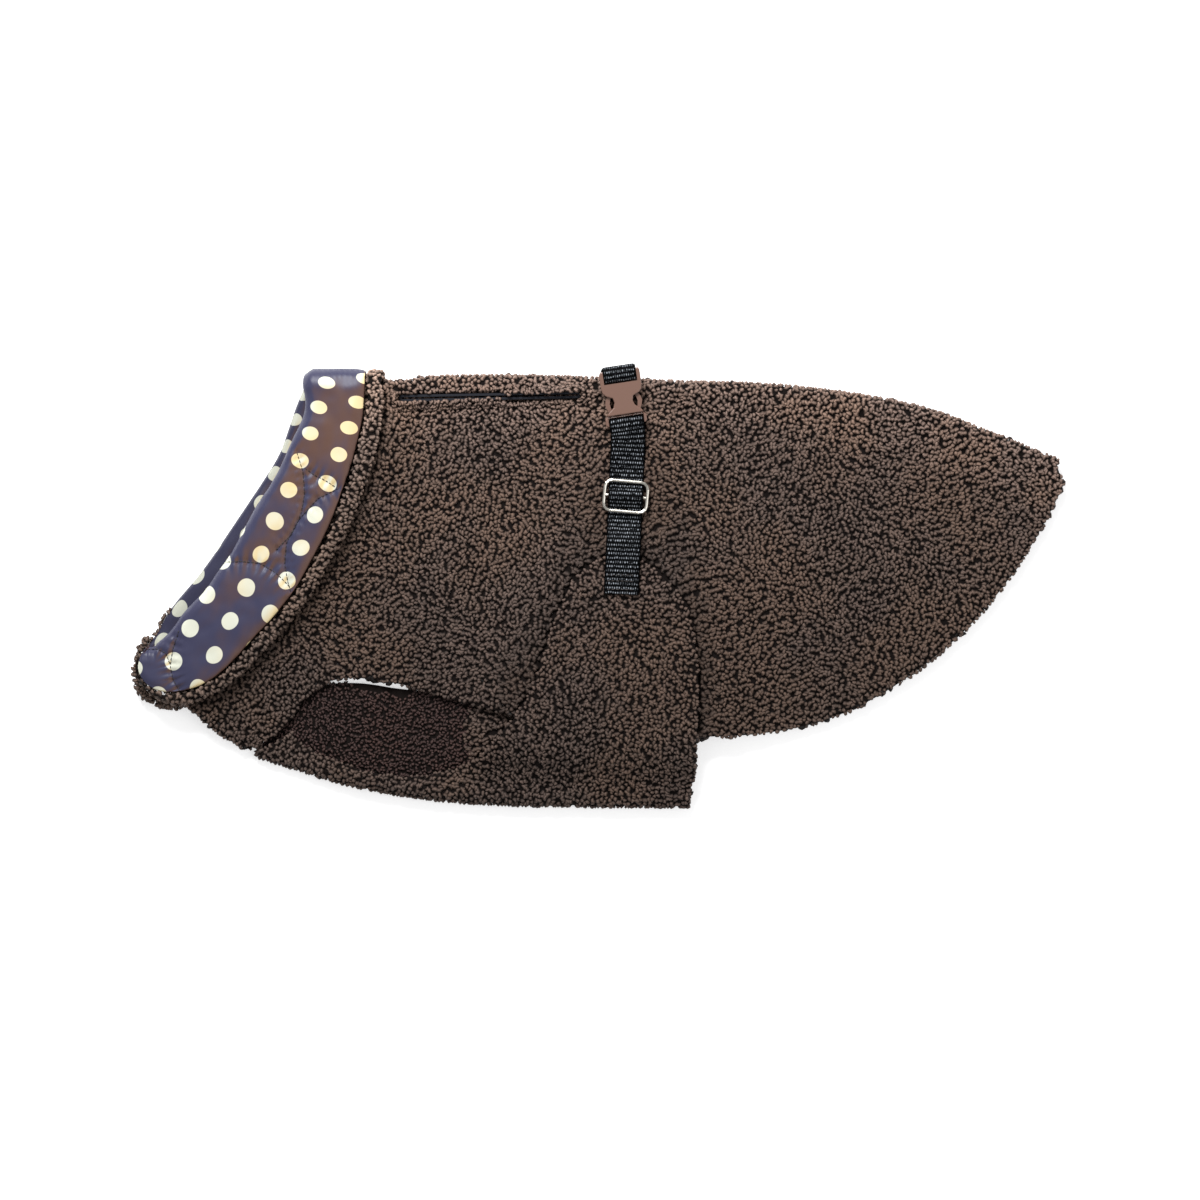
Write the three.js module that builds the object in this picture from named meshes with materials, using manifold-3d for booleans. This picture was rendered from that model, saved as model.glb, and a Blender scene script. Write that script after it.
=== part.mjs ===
// Winter coat for a small dog, laid flat on its side: a fleece body folded along the spine,
// a fleece belly piece folded along the chest, a quilted shawl collar, a back strap and a buckle.
// Millimetres. +X runs to the tail, +Y to the spine, +Z up from the surface that it lies on.
import * as THREE from "three";
import { mergeVertices } from "three/addons/utils/BufferGeometryUtils.js";
import Module from "manifold-3d";

// Cloth thickness and clearances
const bodyWall = 4;
const collarFleeceWall = 3;
const liningWall = 1.5;
const seamGap = 0.3;
const halfGap = 0.15;
const spineBulge = 2.4;
const chestBulge = 1.5;
const foldReach = 18;

// Heights of the layers, measured from the plane between the coat's two halves
const bodyTop = halfGap + bodyWall;
const wingLift = bodyWall + 2.5 * seamGap;
const standLining = halfGap + liningWall;
const standFleece = standLining + seamGap;
const leafFleece = standFleece + collarFleeceWall + seamGap;
const leafLining = leafFleece + collarFleeceWall + seamGap;
const leafTop = leafLining + liningWall;
const puffHeight = 1.2;
const puffReach = 9;
const puffMargin = 5;
const stackRise = 7;

// Hairpin fold of the collar, its stand and its rim
const hairpinMiddle = (halfGap + leafTop) / 2;
const hairpinRadius = (leafTop - halfGap) / 2;
const neckBow = 6;
const standShare = 0.7;
const rimSize = { leastHalf: 2.2, mostHigh: 3.2 };

// Strap, slider and buckle
const strapWidth = 20;
const strapInSlot = 18.6;
const strapWall = 1.8;
const nearStrap = { x: 11.3, slope: 0.045 };
const farStrap = { x: 9.8, slope: -0.13 };
const strapAtSpine = 118;
const sliderPlace = { y: 51.2, turn: -0.09 };
const bucklePlace = { x: 11.9, y: 108.9, turn: 0.15, pitch: 0.08 };
const wireRadius = 1;
const sliderSize = { width: 24.6, length: 17.4, corner: 4 };
const buckleThickness = 6.4;
const buckleBevel = 0.6;
const plateGap = 3.6;
const plugPlay = 0.35;

// Leash slit through the upper half, near the spine
const slit = { x1: -117, y1: 108, x2: -12, y2: 110, hole: 4.4, lip: 1.35, sunk: 0.7, tapeHeight: 3.4 };

function table(columns, rows) {
  return rows.map((row) => Object.fromEntries(columns.map((name, i) => [name, row[i]])));
}

// Sections of the body, from the neck to the tail: a point on the spine and the two lower edges
const bodySections = table(["spineX", "spineY", "nearX", "nearY", "farX", "farY"], [
  [-144, 114.5, -242, -67.5, -245, -64],
  [-138.5, 114.5, -225.5, -83, -228, -81],
  [-132, 114.5, -205, -97, -205, -97],
  [-124.5, 114.5, -192.5, -89.5, -197, -81],
  [-117.5, 114.5, -181, -81, -189.5, -65.5],
  [-110, 114.5, -174.5, -70.5, -179.5, -48],
  [-101.5, 115.5, -165.5, -60.5, -166.5, -36.5],
  [-91.5, 116, -150.5, -54.5, -147.5, -29.5],
  [-81.5, 116, -132, -55.5, -124.5, -28],
  [-69.5, 116, -110.5, -59.5, -100.5, -30],
  [-56, 116, -89.5, -65.5, -76, -35.5],
  [-41.5, 116, -68, -71.5, -54.5, -42.5],
  [-24.5, 115.5, -44.5, -77.5, -31.5, -49],
  [-4.5, 114.5, -13, -81.5, -3.5, -55],
  [18.5, 113.5, 21.5, -85.5, 24.5, -59.5],
  [44.5, 112.5, 59, -88.5, 58.5, -64],
  [73.5, 112, 90.5, -87, 89, -65.5],
  [105, 110.5, 125, -81, 122, -60.5],
  [136.5, 106.5, 156.5, -67.5, 152.5, -50.5],
  [167, 102, 185.5, -48.5, 181.5, -34],
  [196, 94.5, 211.5, -26.5, 207.5, -15],
  [221, 85, 231.5, -3.5, 228, 5],
  [241, 78, 247.5, 19.5, 245, 25],
  [255.5, 72, 260, 41, 259, 44],
  [264, 69.5, 269, 59.5, 268, 60],
]);

// Sections of the belly piece, from the chest backwards: its fold and its two upper edges
const bellySections = table(["foldX", "foldY", "nearX", "nearY", "farX", "farY"], [
  [-201.5, -100, -179, -82.5, -186, -66.5],
  [-188.5, -104, -174, -90, -174, -58.5],
  [-171, -109, -161.5, -97, -156.5, -55],
  [-151, -115.5, -145, -103, -136.5, -55],
  [-128, -120.5, -125, -108, -116.5, -58.5],
  [-102, -124.5, -102, -109, -93.5, -59.5],
  [-76, -127, -81, -103, -73.5, -56],
  [-53, -128, -67.5, -94, -56, -45.5],
  [-33, -128.5, -57, -82, -41.5, -29.5],
  [-16, -128.5, -45, -66.5, -29, -9],
  [-1.5, -129, -36, -45.5, -17.5, 16.5],
  [9, -129, -27.5, -17, -8.5, 42.5],
  [16, -129, -17, 4.5, -0.5, 61],
  [21.5, -129, 1.5, 18, 11, 70.5],
  [27.5, -129, 21.5, 17, 27.5, 68],
  [33, -129, 43, -1, 41.5, 48],
  [37.5, -129, 52.5, -21, 51.5, 16.5],
  [41, -129, 56, -44, 56, -18],
  [44.5, -129, 57, -67, 58, -58.5],
  [48, -129, 55.5, -90, 55.5, -90],
  [51.5, -129, 54, -114.5, 54, -114.5],
]);

// Sections of the collar: its fold line, the edge of its lining and the outside of its fleece rim
const collarColumns = ["foldX", "foldY", "edgeX", "edgeY", "rimX", "rimY"];
const collarNear = table(collarColumns, [
  [-260, -34, -264, -39.5, -268, -41.5],
  [-259.5, -35, -266, -47, -271, -50.5],
  [-259, -35, -261, -57, -266.5, -59.5],
  [-258, -35, -252.5, -61, -255.5, -68],
  [-256, -33.5, -242.5, -61, -242, -70.5],
  [-253.5, -31.5, -228.5, -57, -224, -63.5],
  [-247.5, -25.5, -215, -47.5, -206, -50.5],
  [-239, -13.5, -200, -31, -190, -33],
  [-229.5, -4.5, -186, -16, -176, -17],
  [-221.5, 7, -174.5, -1, -164, -1],
  [-213.5, 18, -166, 14.5, -155, 14.5],
  [-205.5, 33, -158.5, 28.5, -147, 28],
  [-197.5, 48, -152, 44, -140, 43],
  [-190, 58.5, -147, 58.5, -134.5, 58],
  [-183.5, 71, -142.5, 72, -129.5, 71.5],
  [-177.5, 85, -139, 85.5, -127, 85],
  [-171.5, 97.5, -136.5, 98, -125, 98],
  [-170.5, 106.5, -136, 106.5, -125, 106.5],
  [-172, 114.5, -135.5, 114.5, -125, 114.5],
]);
const collarFar = table(collarColumns, [
  [-172, 114.5, -135.5, 114.5, -125, 114.5],
  [-177.5, 102.5, -136.5, 101.5, -125, 101.5],
  [-185, 78.5, -142.5, 76, -131, 75.5],
  [-194, 63.5, -149, 60, -138.5, 59],
  [-205, 47, -159, 39.5, -148, 37.5],
  [-217.5, 28.5, -173, 15, -162.5, 13],
  [-230.5, 9, -188.5, -9, -179, -12],
  [-244, -6.5, -209.5, -36.5, -202.5, -41],
  [-252, -17, -228, -52.5, -224.5, -59.5],
  [-256, -25, -244, -57, -243, -65.5],
  [-259, -30, -256.5, -54, -259, -62],
  [-261, -33, -262.5, -43.5, -266.5, -49],
]);

// Stitch lines that quilt the collar's lining
const stitchLines = [
  [[-175, 77.5], [-170.5, 54], [-175.5, 33.5], [-188.5, 20]],
  [[-170.5, 68.5], [-162.5, 62], [-152, 57]],
  [[-151, 57], [-169, 45], [-181, 25], [-181, 5], [-177.5, -5.5]],
  [[-217.5, 14.5], [-196, 14], [-177.5, -1]],
  [[-242.5, -24.5], [-247, -44], [-242, -59.5]],
  [[-261, -35.5], [-251, -37], [-246.5, -48]],
];

// Edges of the body that the belly piece's side flaps lie over, from front to back
const nearOverlap = table(["x", "y"], [
  [-116.5, -46], [-89.5, -65.5], [-68, -71.5], [-44.5, -77.5], [-13, -81.5], [21.5, -85.5], [59, -88.5],
]);
const farOverlap = table(["x", "y"], [
  [-125, -10], [-90, -22], [-76, -35.5], [-54.5, -42.5],
  [-31.5, -49], [-3.5, -55], [24.5, -59.5], [58.5, -64],
]);
const overlapRamp = { start: -38, end: -12 };

// Middle of the collar and of the strap with its flaps, where the layers stack up
const collarMiddle = table(["x", "y"], [
  [-148, 114.5], [-163.5, 68], [-191, 16.5], [-228.5, -35.5], [-251.5, -52.5],
]);
const flapHalfWidth = table(["y", "x", "half"], [
  [-150, 6, 66], [-70, 4, 66], [-20, 12, 54], [16, 15, 42], [45, 15, 34], [72, 14, 22], [120, 12, 13],
]);
const stackZone = {
  collarFrom: 27, collarTo: 52, flapFade: 34,
  spineDrop: 0.65, spineFrom: 74, spineTo: 112, chestFrom: -122, chestTo: -92,
};

function ease(from, to, value) {
  const t = Math.min(1, Math.max(0, (value - from) / (to - from)));
  return t * t * (3 - 2 * t);
}

// Straight-line reading of a table, held at its first and last rows
function readTable(rows, key, value, name) {
  let i = 1;
  while (i < rows.length - 1 && value > rows[i][key]) i += 1;
  const t = Math.min(1, Math.max(0, (value - rows[i - 1][key]) / (rows[i][key] - rows[i - 1][key])));
  return rows[i - 1][name] + t * (rows[i][name] - rows[i - 1][name]);
}

function curveOf(rows, xName, yName) {
  const points = rows.map((row) => new THREE.Vector3(row[xName], row[yName], 0));
  return new THREE.CatmullRomCurve3(points, false, "centripetal");
}

function distanceToSegment(x, y, a, b) {
  const dx = b.x - a.x;
  const dy = b.y - a.y;
  const t = Math.min(1, Math.max(0, ((x - a.x) * dx + (y - a.y) * dy) / (dx * dx + dy * dy)));
  return Math.hypot(x - a.x - t * dx, y - a.y - t * dy);
}

function distanceToPath(x, y, path) {
  let best = Infinity;
  for (let i = 1; i < path.length; i += 1) {
    best = Math.min(best, distanceToSegment(x, y, path[i - 1], path[i]));
  }
  return best;
}

// How far the cloth rolls open beside the spine fold and beside the chest fold
function bulgeAt(x, y) {
  const spine = readTable(bodySections, "spineX", x, "spineY");
  const chest = readTable(bellySections, "foldX", x, "foldY");
  const alongBack = ease(-122, -95, x) * (1 - 0.6 * ease(180, 255, x));
  const alongChest = ease(-190, -140, x) * (1 - ease(50, 70, x));
  const nearSpine = 1 - ease(0, foldReach, spine - y);
  const nearChest = 1 - ease(0, foldReach, y - chest - bodyTop);
  return spineBulge * alongBack * nearSpine + chestBulge * alongChest * nearChest;
}

// Height of the plane between the two halves: raised where the collar and the flaps stack up
function middleAt(x, y) {
  const collar = 1 - ease(stackZone.collarFrom, stackZone.collarTo, distanceToPath(x, y, collarMiddle));
  const centre = readTable(flapHalfWidth, "y", y, "x");
  const half = readTable(flapHalfWidth, "y", y, "half");
  const beside = 1 - ease(0, stackZone.flapFade, Math.abs(x - centre) - half);
  const belowSpine = 1 - stackZone.spineDrop * ease(stackZone.spineFrom, stackZone.spineTo, y);
  const along = belowSpine * ease(stackZone.chestFrom, stackZone.chestTo, y);
  return bodyTop + stackRise * Math.max(collar, beside * along) + bulgeAt(x, y);
}

// Lift of the belly piece's flaps over the body's edge
function flapLift(x, y, edge) {
  const edgeY = readTable(edge, "x", x, "y");
  return wingLift * ease(edgeY + overlapRamp.start, edgeY + overlapRamp.end, y);
}

function solidFromLoops(loops, capFaces) {
  const size = loops[0].length;
  const positions = [];
  const index = [];
  for (const loop of loops) {
    for (const point of loop) positions.push(point.x, point.y, Math.max(0, point.z));
  }
  for (let i = 0; i + 1 < loops.length; i += 1) {
    for (let j = 0; j < size; j += 1) {
      const a = i * size + j;
      const b = i * size + ((j + 1) % size);
      index.push(a, b, a + size, b, b + size, a + size);
    }
  }
  const last = (loops.length - 1) * size;
  for (const [a, b, c] of capFaces) index.push(a, c, b, last + a, last + b, last + c);
  const geometry = new THREE.BufferGeometry();
  geometry.setAttribute("position", new THREE.Float32BufferAttribute(positions, 3));
  geometry.setIndex(index);
  return facingOut(geometry);
}

function signedVolume(geometry) {
  const position = geometry.getAttribute("position");
  const index = geometry.getIndex();
  const a = new THREE.Vector3();
  const b = new THREE.Vector3();
  const c = new THREE.Vector3();
  let sum = 0;
  for (let i = 0; i < index.count; i += 3) {
    a.fromBufferAttribute(position, index.getX(i));
    b.fromBufferAttribute(position, index.getX(i + 1));
    c.fromBufferAttribute(position, index.getX(i + 2));
    sum += a.dot(b.cross(c));
  }
  return sum / 6;
}

function facingOut(geometry) {
  if (signedVolume(geometry) < 0) {
    const index = geometry.getIndex().array;
    for (let i = 0; i < index.length; i += 3) [index[i], index[i + 1]] = [index[i + 1], index[i]];
  }
  return geometry;
}

// End faces of a folded wall: outer points paired with inner ones, with a fan at each rounded edge
function pairedCap(count, edgePoints) {
  const faces = [];
  const inner = (j) => count + edgePoints + (count - 1 - j);
  const size = 2 * (count + edgePoints);
  for (let j = 0; j + 1 < count; j += 1) {
    faces.push([j, j + 1, inner(j + 1)], [j, inner(j + 1), inner(j)]);
  }
  for (let k = 0; k < edgePoints; k += 1) {
    faces.push([count - 1, count + k, count + k + 1]);
    faces.push([inner(0), inner(0) + 1 + k, (inner(0) + 2 + k) % size]);
  }
  return faces;
}

const edgeAngles = [Math.PI / 4, 0, -Math.PI / 4];

function roundedEdge(x, y, away, low, high) {
  const radius = (high - low) / 2;
  return edgeAngles.map((angle) => new THREE.Vector3(
    x + away.x * radius * Math.cos(angle),
    y + away.y * radius * Math.cos(angle),
    (high + low) / 2 + radius * Math.sin(angle),
  ));
}

function acrossCurve(curve, t, insideX, insideY) {
  const point = curve.getPoint(t);
  const tangent = curve.getTangent(t);
  const away = new THREE.Vector2(-tangent.y, tangent.x);
  if ((point.x - insideX) * away.x + (point.y - insideY) * away.y < 0) away.negate();
  return { point, away };
}

// A wall folded over along one line, with its two halves lying on each other
function foldedWall({ rows, axisNames, steps, halfCells, wrapCells, nearLift, farLift, axisInset, bow }) {
  const axisCurve = curveOf(rows, axisNames[0], axisNames[1]);
  const nearCurve = curveOf(rows, "nearX", "nearY");
  const farCurve = curveOf(rows, "farX", "farY");
  const radius = bodyWall / 2;
  const loops = [];
  for (let i = 0; i <= steps; i += 1) {
    const t = i / steps;
    const outer = [];
    const inner = [];
    const near = acrossCurve(nearCurve, t, axisCurve.getPoint(t).x, axisCurve.getPoint(t).y);
    const far = acrossCurve(farCurve, t, axisCurve.getPoint(t).x, axisCurve.getPoint(t).y);
    const fold = acrossCurve(axisCurve, t, near.point.x, near.point.y);
    const inset = axisInset(fold.point);
    const axis = { x: fold.point.x - fold.away.x * inset, y: fold.point.y - fold.away.y * inset };
    const half = (edge, lift, side) => {
      const start = { x: edge.point.x - edge.away.x * radius, y: edge.point.y - edge.away.y * radius };
      const across = new THREE.Vector2(axis.y - start.y, start.x - axis.x).normalize();
      const found = [];
      for (let k = 0; k <= halfCells; k += 1) {
        const u = 1 - (1 - k / halfCells) ** 1.35;
        const bend = bow(t) * 4 * u * (1 - u);
        const x = start.x + u * (axis.x - start.x) + bend * across.x;
        const y = start.y + u * (axis.y - start.y) + bend * across.y;
        const middle = middleAt(x, y);
        const low = halfGap + bulgeAt(x, y) + lift(x, y);
        found.push({ x, y, low: middle + side * low, high: middle + side * (low + bodyWall) });
      }
      return found;
    };
    const nearPoints = half(near, nearLift, 1);
    const farPoints = half(far, farLift, -1).reverse();
    const place = (p) => {
      outer.push(new THREE.Vector3(p.x, p.y, p.high));
      inner.push(new THREE.Vector3(p.x, p.y, p.low));
    };
    nearPoints.forEach(place);
    const middle = middleAt(axis.x, axis.y);
    const low = halfGap + bulgeAt(axis.x, axis.y);
    for (let k = 1; k < wrapCells; k += 1) {
      const angle = (Math.PI * k) / wrapCells;
      const out = Math.sin(angle);
      const at = (r) => new THREE.Vector3(
        axis.x + fold.away.x * r * out,
        axis.y + fold.away.y * r * out,
        middle + r * Math.cos(angle),
      );
      outer.push(at(low + bodyWall));
      inner.push(at(low));
    }
    farPoints.forEach(place);
    const nearEdge = nearPoints[0];
    const farEdge = farPoints[farPoints.length - 1];
    loops.push([
      ...outer,
      ...roundedEdge(farEdge.x, farEdge.y, far.away, farEdge.high, farEdge.low).reverse(),
      ...inner.reverse(),
      ...roundedEdge(nearEdge.x, nearEdge.y, near.away, nearEdge.low, nearEdge.high).reverse(),
    ]);
  }
  const count = 2 * halfCells + 2 + wrapCells - 1;
  return solidFromLoops(loops, pairedCap(count, edgeAngles.length));
}

const wasm = await Module();
wasm.setup();

function toManifold(geometry) {
  const bare = geometry.clone();
  bare.deleteAttribute("normal");
  bare.deleteAttribute("uv");
  const merged = mergeVertices(bare, 1e-5);
  return new wasm.Manifold(new wasm.Mesh({
    numProp: 3,
    vertProperties: new Float32Array(merged.getAttribute("position").array),
    triVerts: new Uint32Array(merged.getIndex().array),
  }));
}

function fromManifold(solid) {
  const mesh = solid.getMesh();
  const geometry = new THREE.BufferGeometry();
  geometry.setAttribute("position", new THREE.Float32BufferAttribute(Array.from(mesh.vertProperties), 3));
  geometry.setIndex(Array.from(mesh.triVerts));
  return geometry;
}

function cut(geometry, ...tools) {
  return fromManifold(tools.reduce((solid, tool) => solid.subtract(toManifold(tool)), toManifold(geometry)));
}

function join(first, ...others) {
  return fromManifold(others.reduce((solid, other) => solid.add(toManifold(other)), toManifold(first)));
}

// A long narrow slot seen from above, with round ends
function slotShape(width) {
  const length = Math.hypot(slit.x2 - slit.x1, slit.y2 - slit.y1) - slit.hole + width;
  const half = length / 2 - width / 2;
  const shape = new THREE.Shape();
  shape.moveTo(-half, -width / 2);
  shape.lineTo(half, -width / 2);
  shape.absarc(half, 0, width / 2, -Math.PI / 2, Math.PI / 2, false);
  shape.lineTo(-half, width / 2);
  shape.absarc(-half, 0, width / 2, Math.PI / 2, (3 * Math.PI) / 2, false);
  return shape;
}

function slotSolid(shape, low, high) {
  const settings = { depth: high - low, bevelEnabled: false, curveSegments: 6 };
  const geometry = new THREE.ExtrudeGeometry(shape, settings);
  geometry.rotateZ(Math.atan2(slit.y2 - slit.y1, slit.x2 - slit.x1));
  geometry.translate((slit.x1 + slit.x2) / 2, (slit.y1 + slit.y2) / 2, low);
  return geometry;
}

function slitMiddle() {
  return middleAt((slit.x1 + slit.x2) / 2, (slit.y1 + slit.y2) / 2);
}

function backPanel() {
  const wall = foldedWall({
    rows: bodySections,
    axisNames: ["spineX", "spineY"],
    steps: 36,
    halfCells: 7,
    wrapCells: 5,
    nearLift: () => 0,
    farLift: () => 0,
    axisInset: () => 0,
    bow: (t) => neckBow * (1 - ease(0, 0.25, t)),
  });
  const aboveAll = slitMiddle() + 50;
  return cut(wall, slotSolid(slotShape(slit.hole), slitMiddle(), aboveAll));
}

function bellyPanel() {
  return foldedWall({
    rows: bellySections,
    axisNames: ["foldX", "foldY"],
    steps: 32,
    halfCells: 7,
    wrapCells: 4,
    nearLift: (x, y) => flapLift(x, y, nearOverlap),
    farLift: (x, y) => flapLift(x, y, farOverlap),
    axisInset: (p) => bodyTop + bulgeAt(p.x, p.y + bodyTop + chestBulge),
    bow: () => 0,
  });
}

// Bound lips of the leash slit: one closed ring of tape, sunk a little below the fleece
function slitBinding() {
  const ring = slotShape(slit.hole - 2 * seamGap);
  ring.holes.push(new THREE.Path(slotShape(slit.hole - 2 * seamGap - 2 * slit.lip).getPoints(6)));
  const high = slitMiddle() + bodyTop + spineBulge - slit.sunk;
  return slotSolid(ring, high - slit.tapeHeight, high);
}

// Puffs of the quilted lining: low along the stitch lines and full between them
function puffAt(x, y, edgeDistance) {
  let nearest = Infinity;
  for (const line of stitchLines) {
    const path = line.map(([px, py]) => ({ x: px, y: py }));
    nearest = Math.min(nearest, distanceToPath(x, y, path));
  }
  return puffHeight * ease(0, puffReach, nearest) * ease(0, puffMargin, edgeDistance);
}

// Stations along the collar: the near half from its front corner, round the spine, and the far half
function collarStations() {
  const stations = [];
  const addHalf = (rows, steps, turn) => {
    const fold = curveOf(rows, "foldX", "foldY");
    const edge = curveOf(rows, "edgeX", "edgeY");
    const rim = curveOf(rows, "rimX", "rimY");
    for (let i = 0; i <= steps; i += 1) {
      const t = i / steps;
      stations.push({ fold: fold.getPoint(t), edge: edge.getPoint(t), rim: rim.getPoint(t), turn });
    }
  };
  addHalf(collarNear, 34, 0);
  const atSpine = stations[stations.length - 1];
  const wraps = 5;
  for (let k = 1; k < wraps; k += 1) stations.push({ ...atSpine, turn: (Math.PI * k) / wraps });
  addHalf(collarFar, 16, Math.PI);
  return stations;
}

function lineOfNeck(side) {
  const row = bodySections[0];
  const start = { x: row[`${side}X`], y: row[`${side}Y`] };
  const length = Math.hypot(row.spineX - start.x, row.spineY - start.y);
  const across = { x: (row.spineY - start.y) / length, y: (start.x - row.spineX) / length };
  const points = [];
  for (let k = 0; k <= 24; k += 1) {
    const u = -0.05 + (1.1 * k) / 24;
    const bend = neckBow * 4 * u * (1 - u);
    points.push({
      x: start.x + u * (row.spineX - start.x) + bend * across.x,
      y: start.y + u * (row.spineY - start.y) + bend * across.y,
    });
  }
  return points;
}

// Distance from a point, along a direction, to a line of points
function reachTo(from, along, line) {
  let best = Infinity;
  for (let i = 1; i < line.length; i += 1) {
    const a = line[i - 1];
    const b = line[i];
    const determinant = along.x * (a.y - b.y) - along.y * (a.x - b.x);
    if (Math.abs(determinant) < 1e-9) continue;
    const dx = a.x - from.x;
    const dy = a.y - from.y;
    const distance = (dx * (a.y - b.y) - dy * (a.x - b.x)) / determinant;
    const share = (along.x * dy - along.y * dx) / determinant;
    if (distance > 0 && share >= 0 && share <= 1) best = Math.min(best, distance);
  }
  return best;
}

function standHeight(station, along, leafWidth) {
  const neck = station.turn > Math.PI / 2 ? lineOfNeck("far") : lineOfNeck("near");
  const line = station.turn > 0 && station.turn < Math.PI
    ? [{ x: bodySections[0].spineX, y: -200 }, { x: bodySections[0].spineX, y: 200 }] : neck;
  return Math.min(reachTo(station.fold, along, line) - 2 * seamGap, leafWidth * standShare);
}

function collarPoint(station, along, s, level) {
  const x = station.fold.x + s * along.x;
  const y = station.fold.y + s * along.y;
  const out = Math.sin(station.turn) * level;
  return new THREE.Vector3(
    x - along.y * out,
    y + along.x * out,
    middleAt(x, y) + level * Math.cos(station.turn),
  );
}

function stationFrame(station) {
  const toEdge = new THREE.Vector2(station.edge.x - station.fold.x, station.edge.y - station.fold.y);
  const width = toEdge.length();
  const along = toEdge.normalize();
  const toRim = (station.rim.x - station.fold.x) * along.x + (station.rim.y - station.fold.y) * along.y;
  return { along, width, toRim };
}

// Hairpin section of one collar layer: up the stand, round the fold and out along the turned-down leaf
function hairpin(station, low, wall, leafCells, raised) {
  const { along, width } = stationFrame(station);
  const high = 2 * hairpinMiddle - low;
  const bend = Math.min(hairpinRadius, width * 0.45);
  const stand = Math.max(standHeight(station, along, width), bend + 0.5);
  const leafEnd = width - seamGap;
  const points = [];
  const put = (s, level) => points.push(collarPoint(station, along, s, level));
  put(stand, low);
  put(bend, low);
  for (let k = 1; k <= 4; k += 1) {
    const angle = (Math.PI * k) / 5;
    const r = hairpinMiddle - low;
    put(bend - (r * bend * Math.sin(angle)) / hairpinRadius, hairpinMiddle - r * Math.cos(angle));
  }
  for (let k = 0; k <= leafCells; k += 1) {
    const s = bend + ((leafEnd - bend) * k) / leafCells;
    const x = station.fold.x + s * along.x;
    const y = station.fold.y + s * along.y;
    put(s, high + raised(x, y, Math.min(leafEnd - s, s)));
  }
  put(leafEnd, high - wall);
  put((leafEnd + bend) / 2, high - wall);
  put(bend, high - wall);
  for (let k = 1; k <= 3; k += 1) {
    const angle = (Math.PI * k) / 4;
    const r = hairpinMiddle - low - wall;
    put(bend - (r * bend * Math.sin(angle)) / hairpinRadius, hairpinMiddle + r * Math.cos(angle));
  }
  put(bend, low + wall);
  put(stand, low + wall);
  return points;
}

// End faces of the hairpin, cut from its section laid out flat
function hairpinCap(loop) {
  const origin = loop[0];
  const base = loop[1].clone().sub(origin);
  const across = new THREE.Vector2(base.x, base.y).normalize();
  const flat = loop.map((p) => {
    const along = (p.x - origin.x) * across.x + (p.y - origin.y) * across.y;
    return new THREE.Vector2(along, p.z);
  });
  const turn = Math.sign(THREE.ShapeUtils.area(flat));
  return THREE.ShapeUtils.triangulateShape(flat, []).map(([a, b, c]) => (
    Math.sign(THREE.ShapeUtils.area([flat[a], flat[b], flat[c]])) === turn ? [a, b, c] : [a, c, b]
  ));
}

function collarLayer(low, wall, leafCells, raised) {
  const loops = collarStations().map((station) => hairpin(station, low, wall, leafCells, raised));
  return solidFromLoops(loops, hairpinCap(loops[0]));
}

// Rounded roll of fleece along the collar's free edge
function collarRim() {
  const sides = 9;
  const loops = collarStations().map((station) => {
    const { along, width, toRim } = stationFrame(station);
    const half = Math.max(rimSize.leastHalf, (toRim - width) / 2);
    const high = Math.min(rimSize.mostHigh, half * 0.8 + 1);
    const centre = bodyTop + seamGap + rimSize.mostHigh;
    const loop = [];
    for (let k = 0; k < sides; k += 1) {
      const angle = (2 * Math.PI * k) / sides;
      const out = width + half + half * Math.cos(angle);
      loop.push(collarPoint(station, along, out, centre + high * Math.sin(angle)));
    }
    return loop;
  });
  const fan = [];
  for (let k = 1; k + 1 < sides; k += 1) fan.push([0, k, k + 1]);
  return solidFromLoops(loops, fan);
}

// Section of the webbing, in halves of its width and of its thickness
const webbingCorners = [
  [-1, -0.5], [-1, 0.5], [-0.94, 1], [0.94, 1],
  [1, 0.5], [1, -0.5], [0.94, -1], [-0.94, -1],
];

// A flat strap through stations, each with its point, its width and the slope of its cross direction
function strapAlong(stations) {
  const curve = new THREE.CatmullRomCurve3(stations.map((s) => s.point), false, "centripetal");
  const cellsPerSpan = 3;
  const loops = [];
  for (let i = 0; i + 1 < stations.length; i += 1) {
    const cells = i + 2 === stations.length ? cellsPerSpan + 1 : cellsPerSpan;
    for (let k = 0; k < cells; k += 1) {
      const share = k / cellsPerSpan;
      const t = (i + share) / (stations.length - 1);
      const point = curve.getPoint(t);
      const slope = THREE.MathUtils.lerp(stations[i].slope, stations[i + 1].slope, share);
      const width = THREE.MathUtils.lerp(stations[i].width, stations[i + 1].width, share);
      const across = new THREE.Vector3(1, -slope, 0).normalize();
      const normal = new THREE.Vector3().crossVectors(across, curve.getTangent(t)).normalize();
      loops.push(webbingCorners.map(([u, v]) => point.clone()
        .addScaledVector(across, (u * width) / 2)
        .addScaledVector(normal, (v * strapWall) / 2)));
    }
  }
  const fan = [1, 2, 3, 4, 5, 6].map((k) => [0, k, k + 1]);
  return solidFromLoops(loops, fan);
}

const nearStrapX = (y) => nearStrap.x + nearStrap.slope * y;
const farStrapX = (y) => farStrap.x + farStrap.slope * (y - strapAtSpine);

// Near strap: sewn on the flap, over its edge, through the slider and up to the buckle
const nearStrapPath = table(["y", "level"], [
  [-5, 10.15], [8, 10.15], [18, 10.15], [25, 10], [34, 6.3], [42, 5.35], [46.4, 7.6], [51.2, 10.5],
  [56, 7.6], [60.3, 5.35], [71, 5.4], [80, 6.2],
]);

// Near strap at the buckle, in the buckle's own plane: over the plug's bar, into its slot and back below
const plugLoop = table(["y", "z"], [
  [-20.5, 1.5], [-17.8, 2.2], [-15.4, 2.3], [-13.6, 1.7],
  [-12.95, 0], [-13.4, -1.9], [-15.2, -2.75], [-18.5, -2.5],
]);

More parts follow.
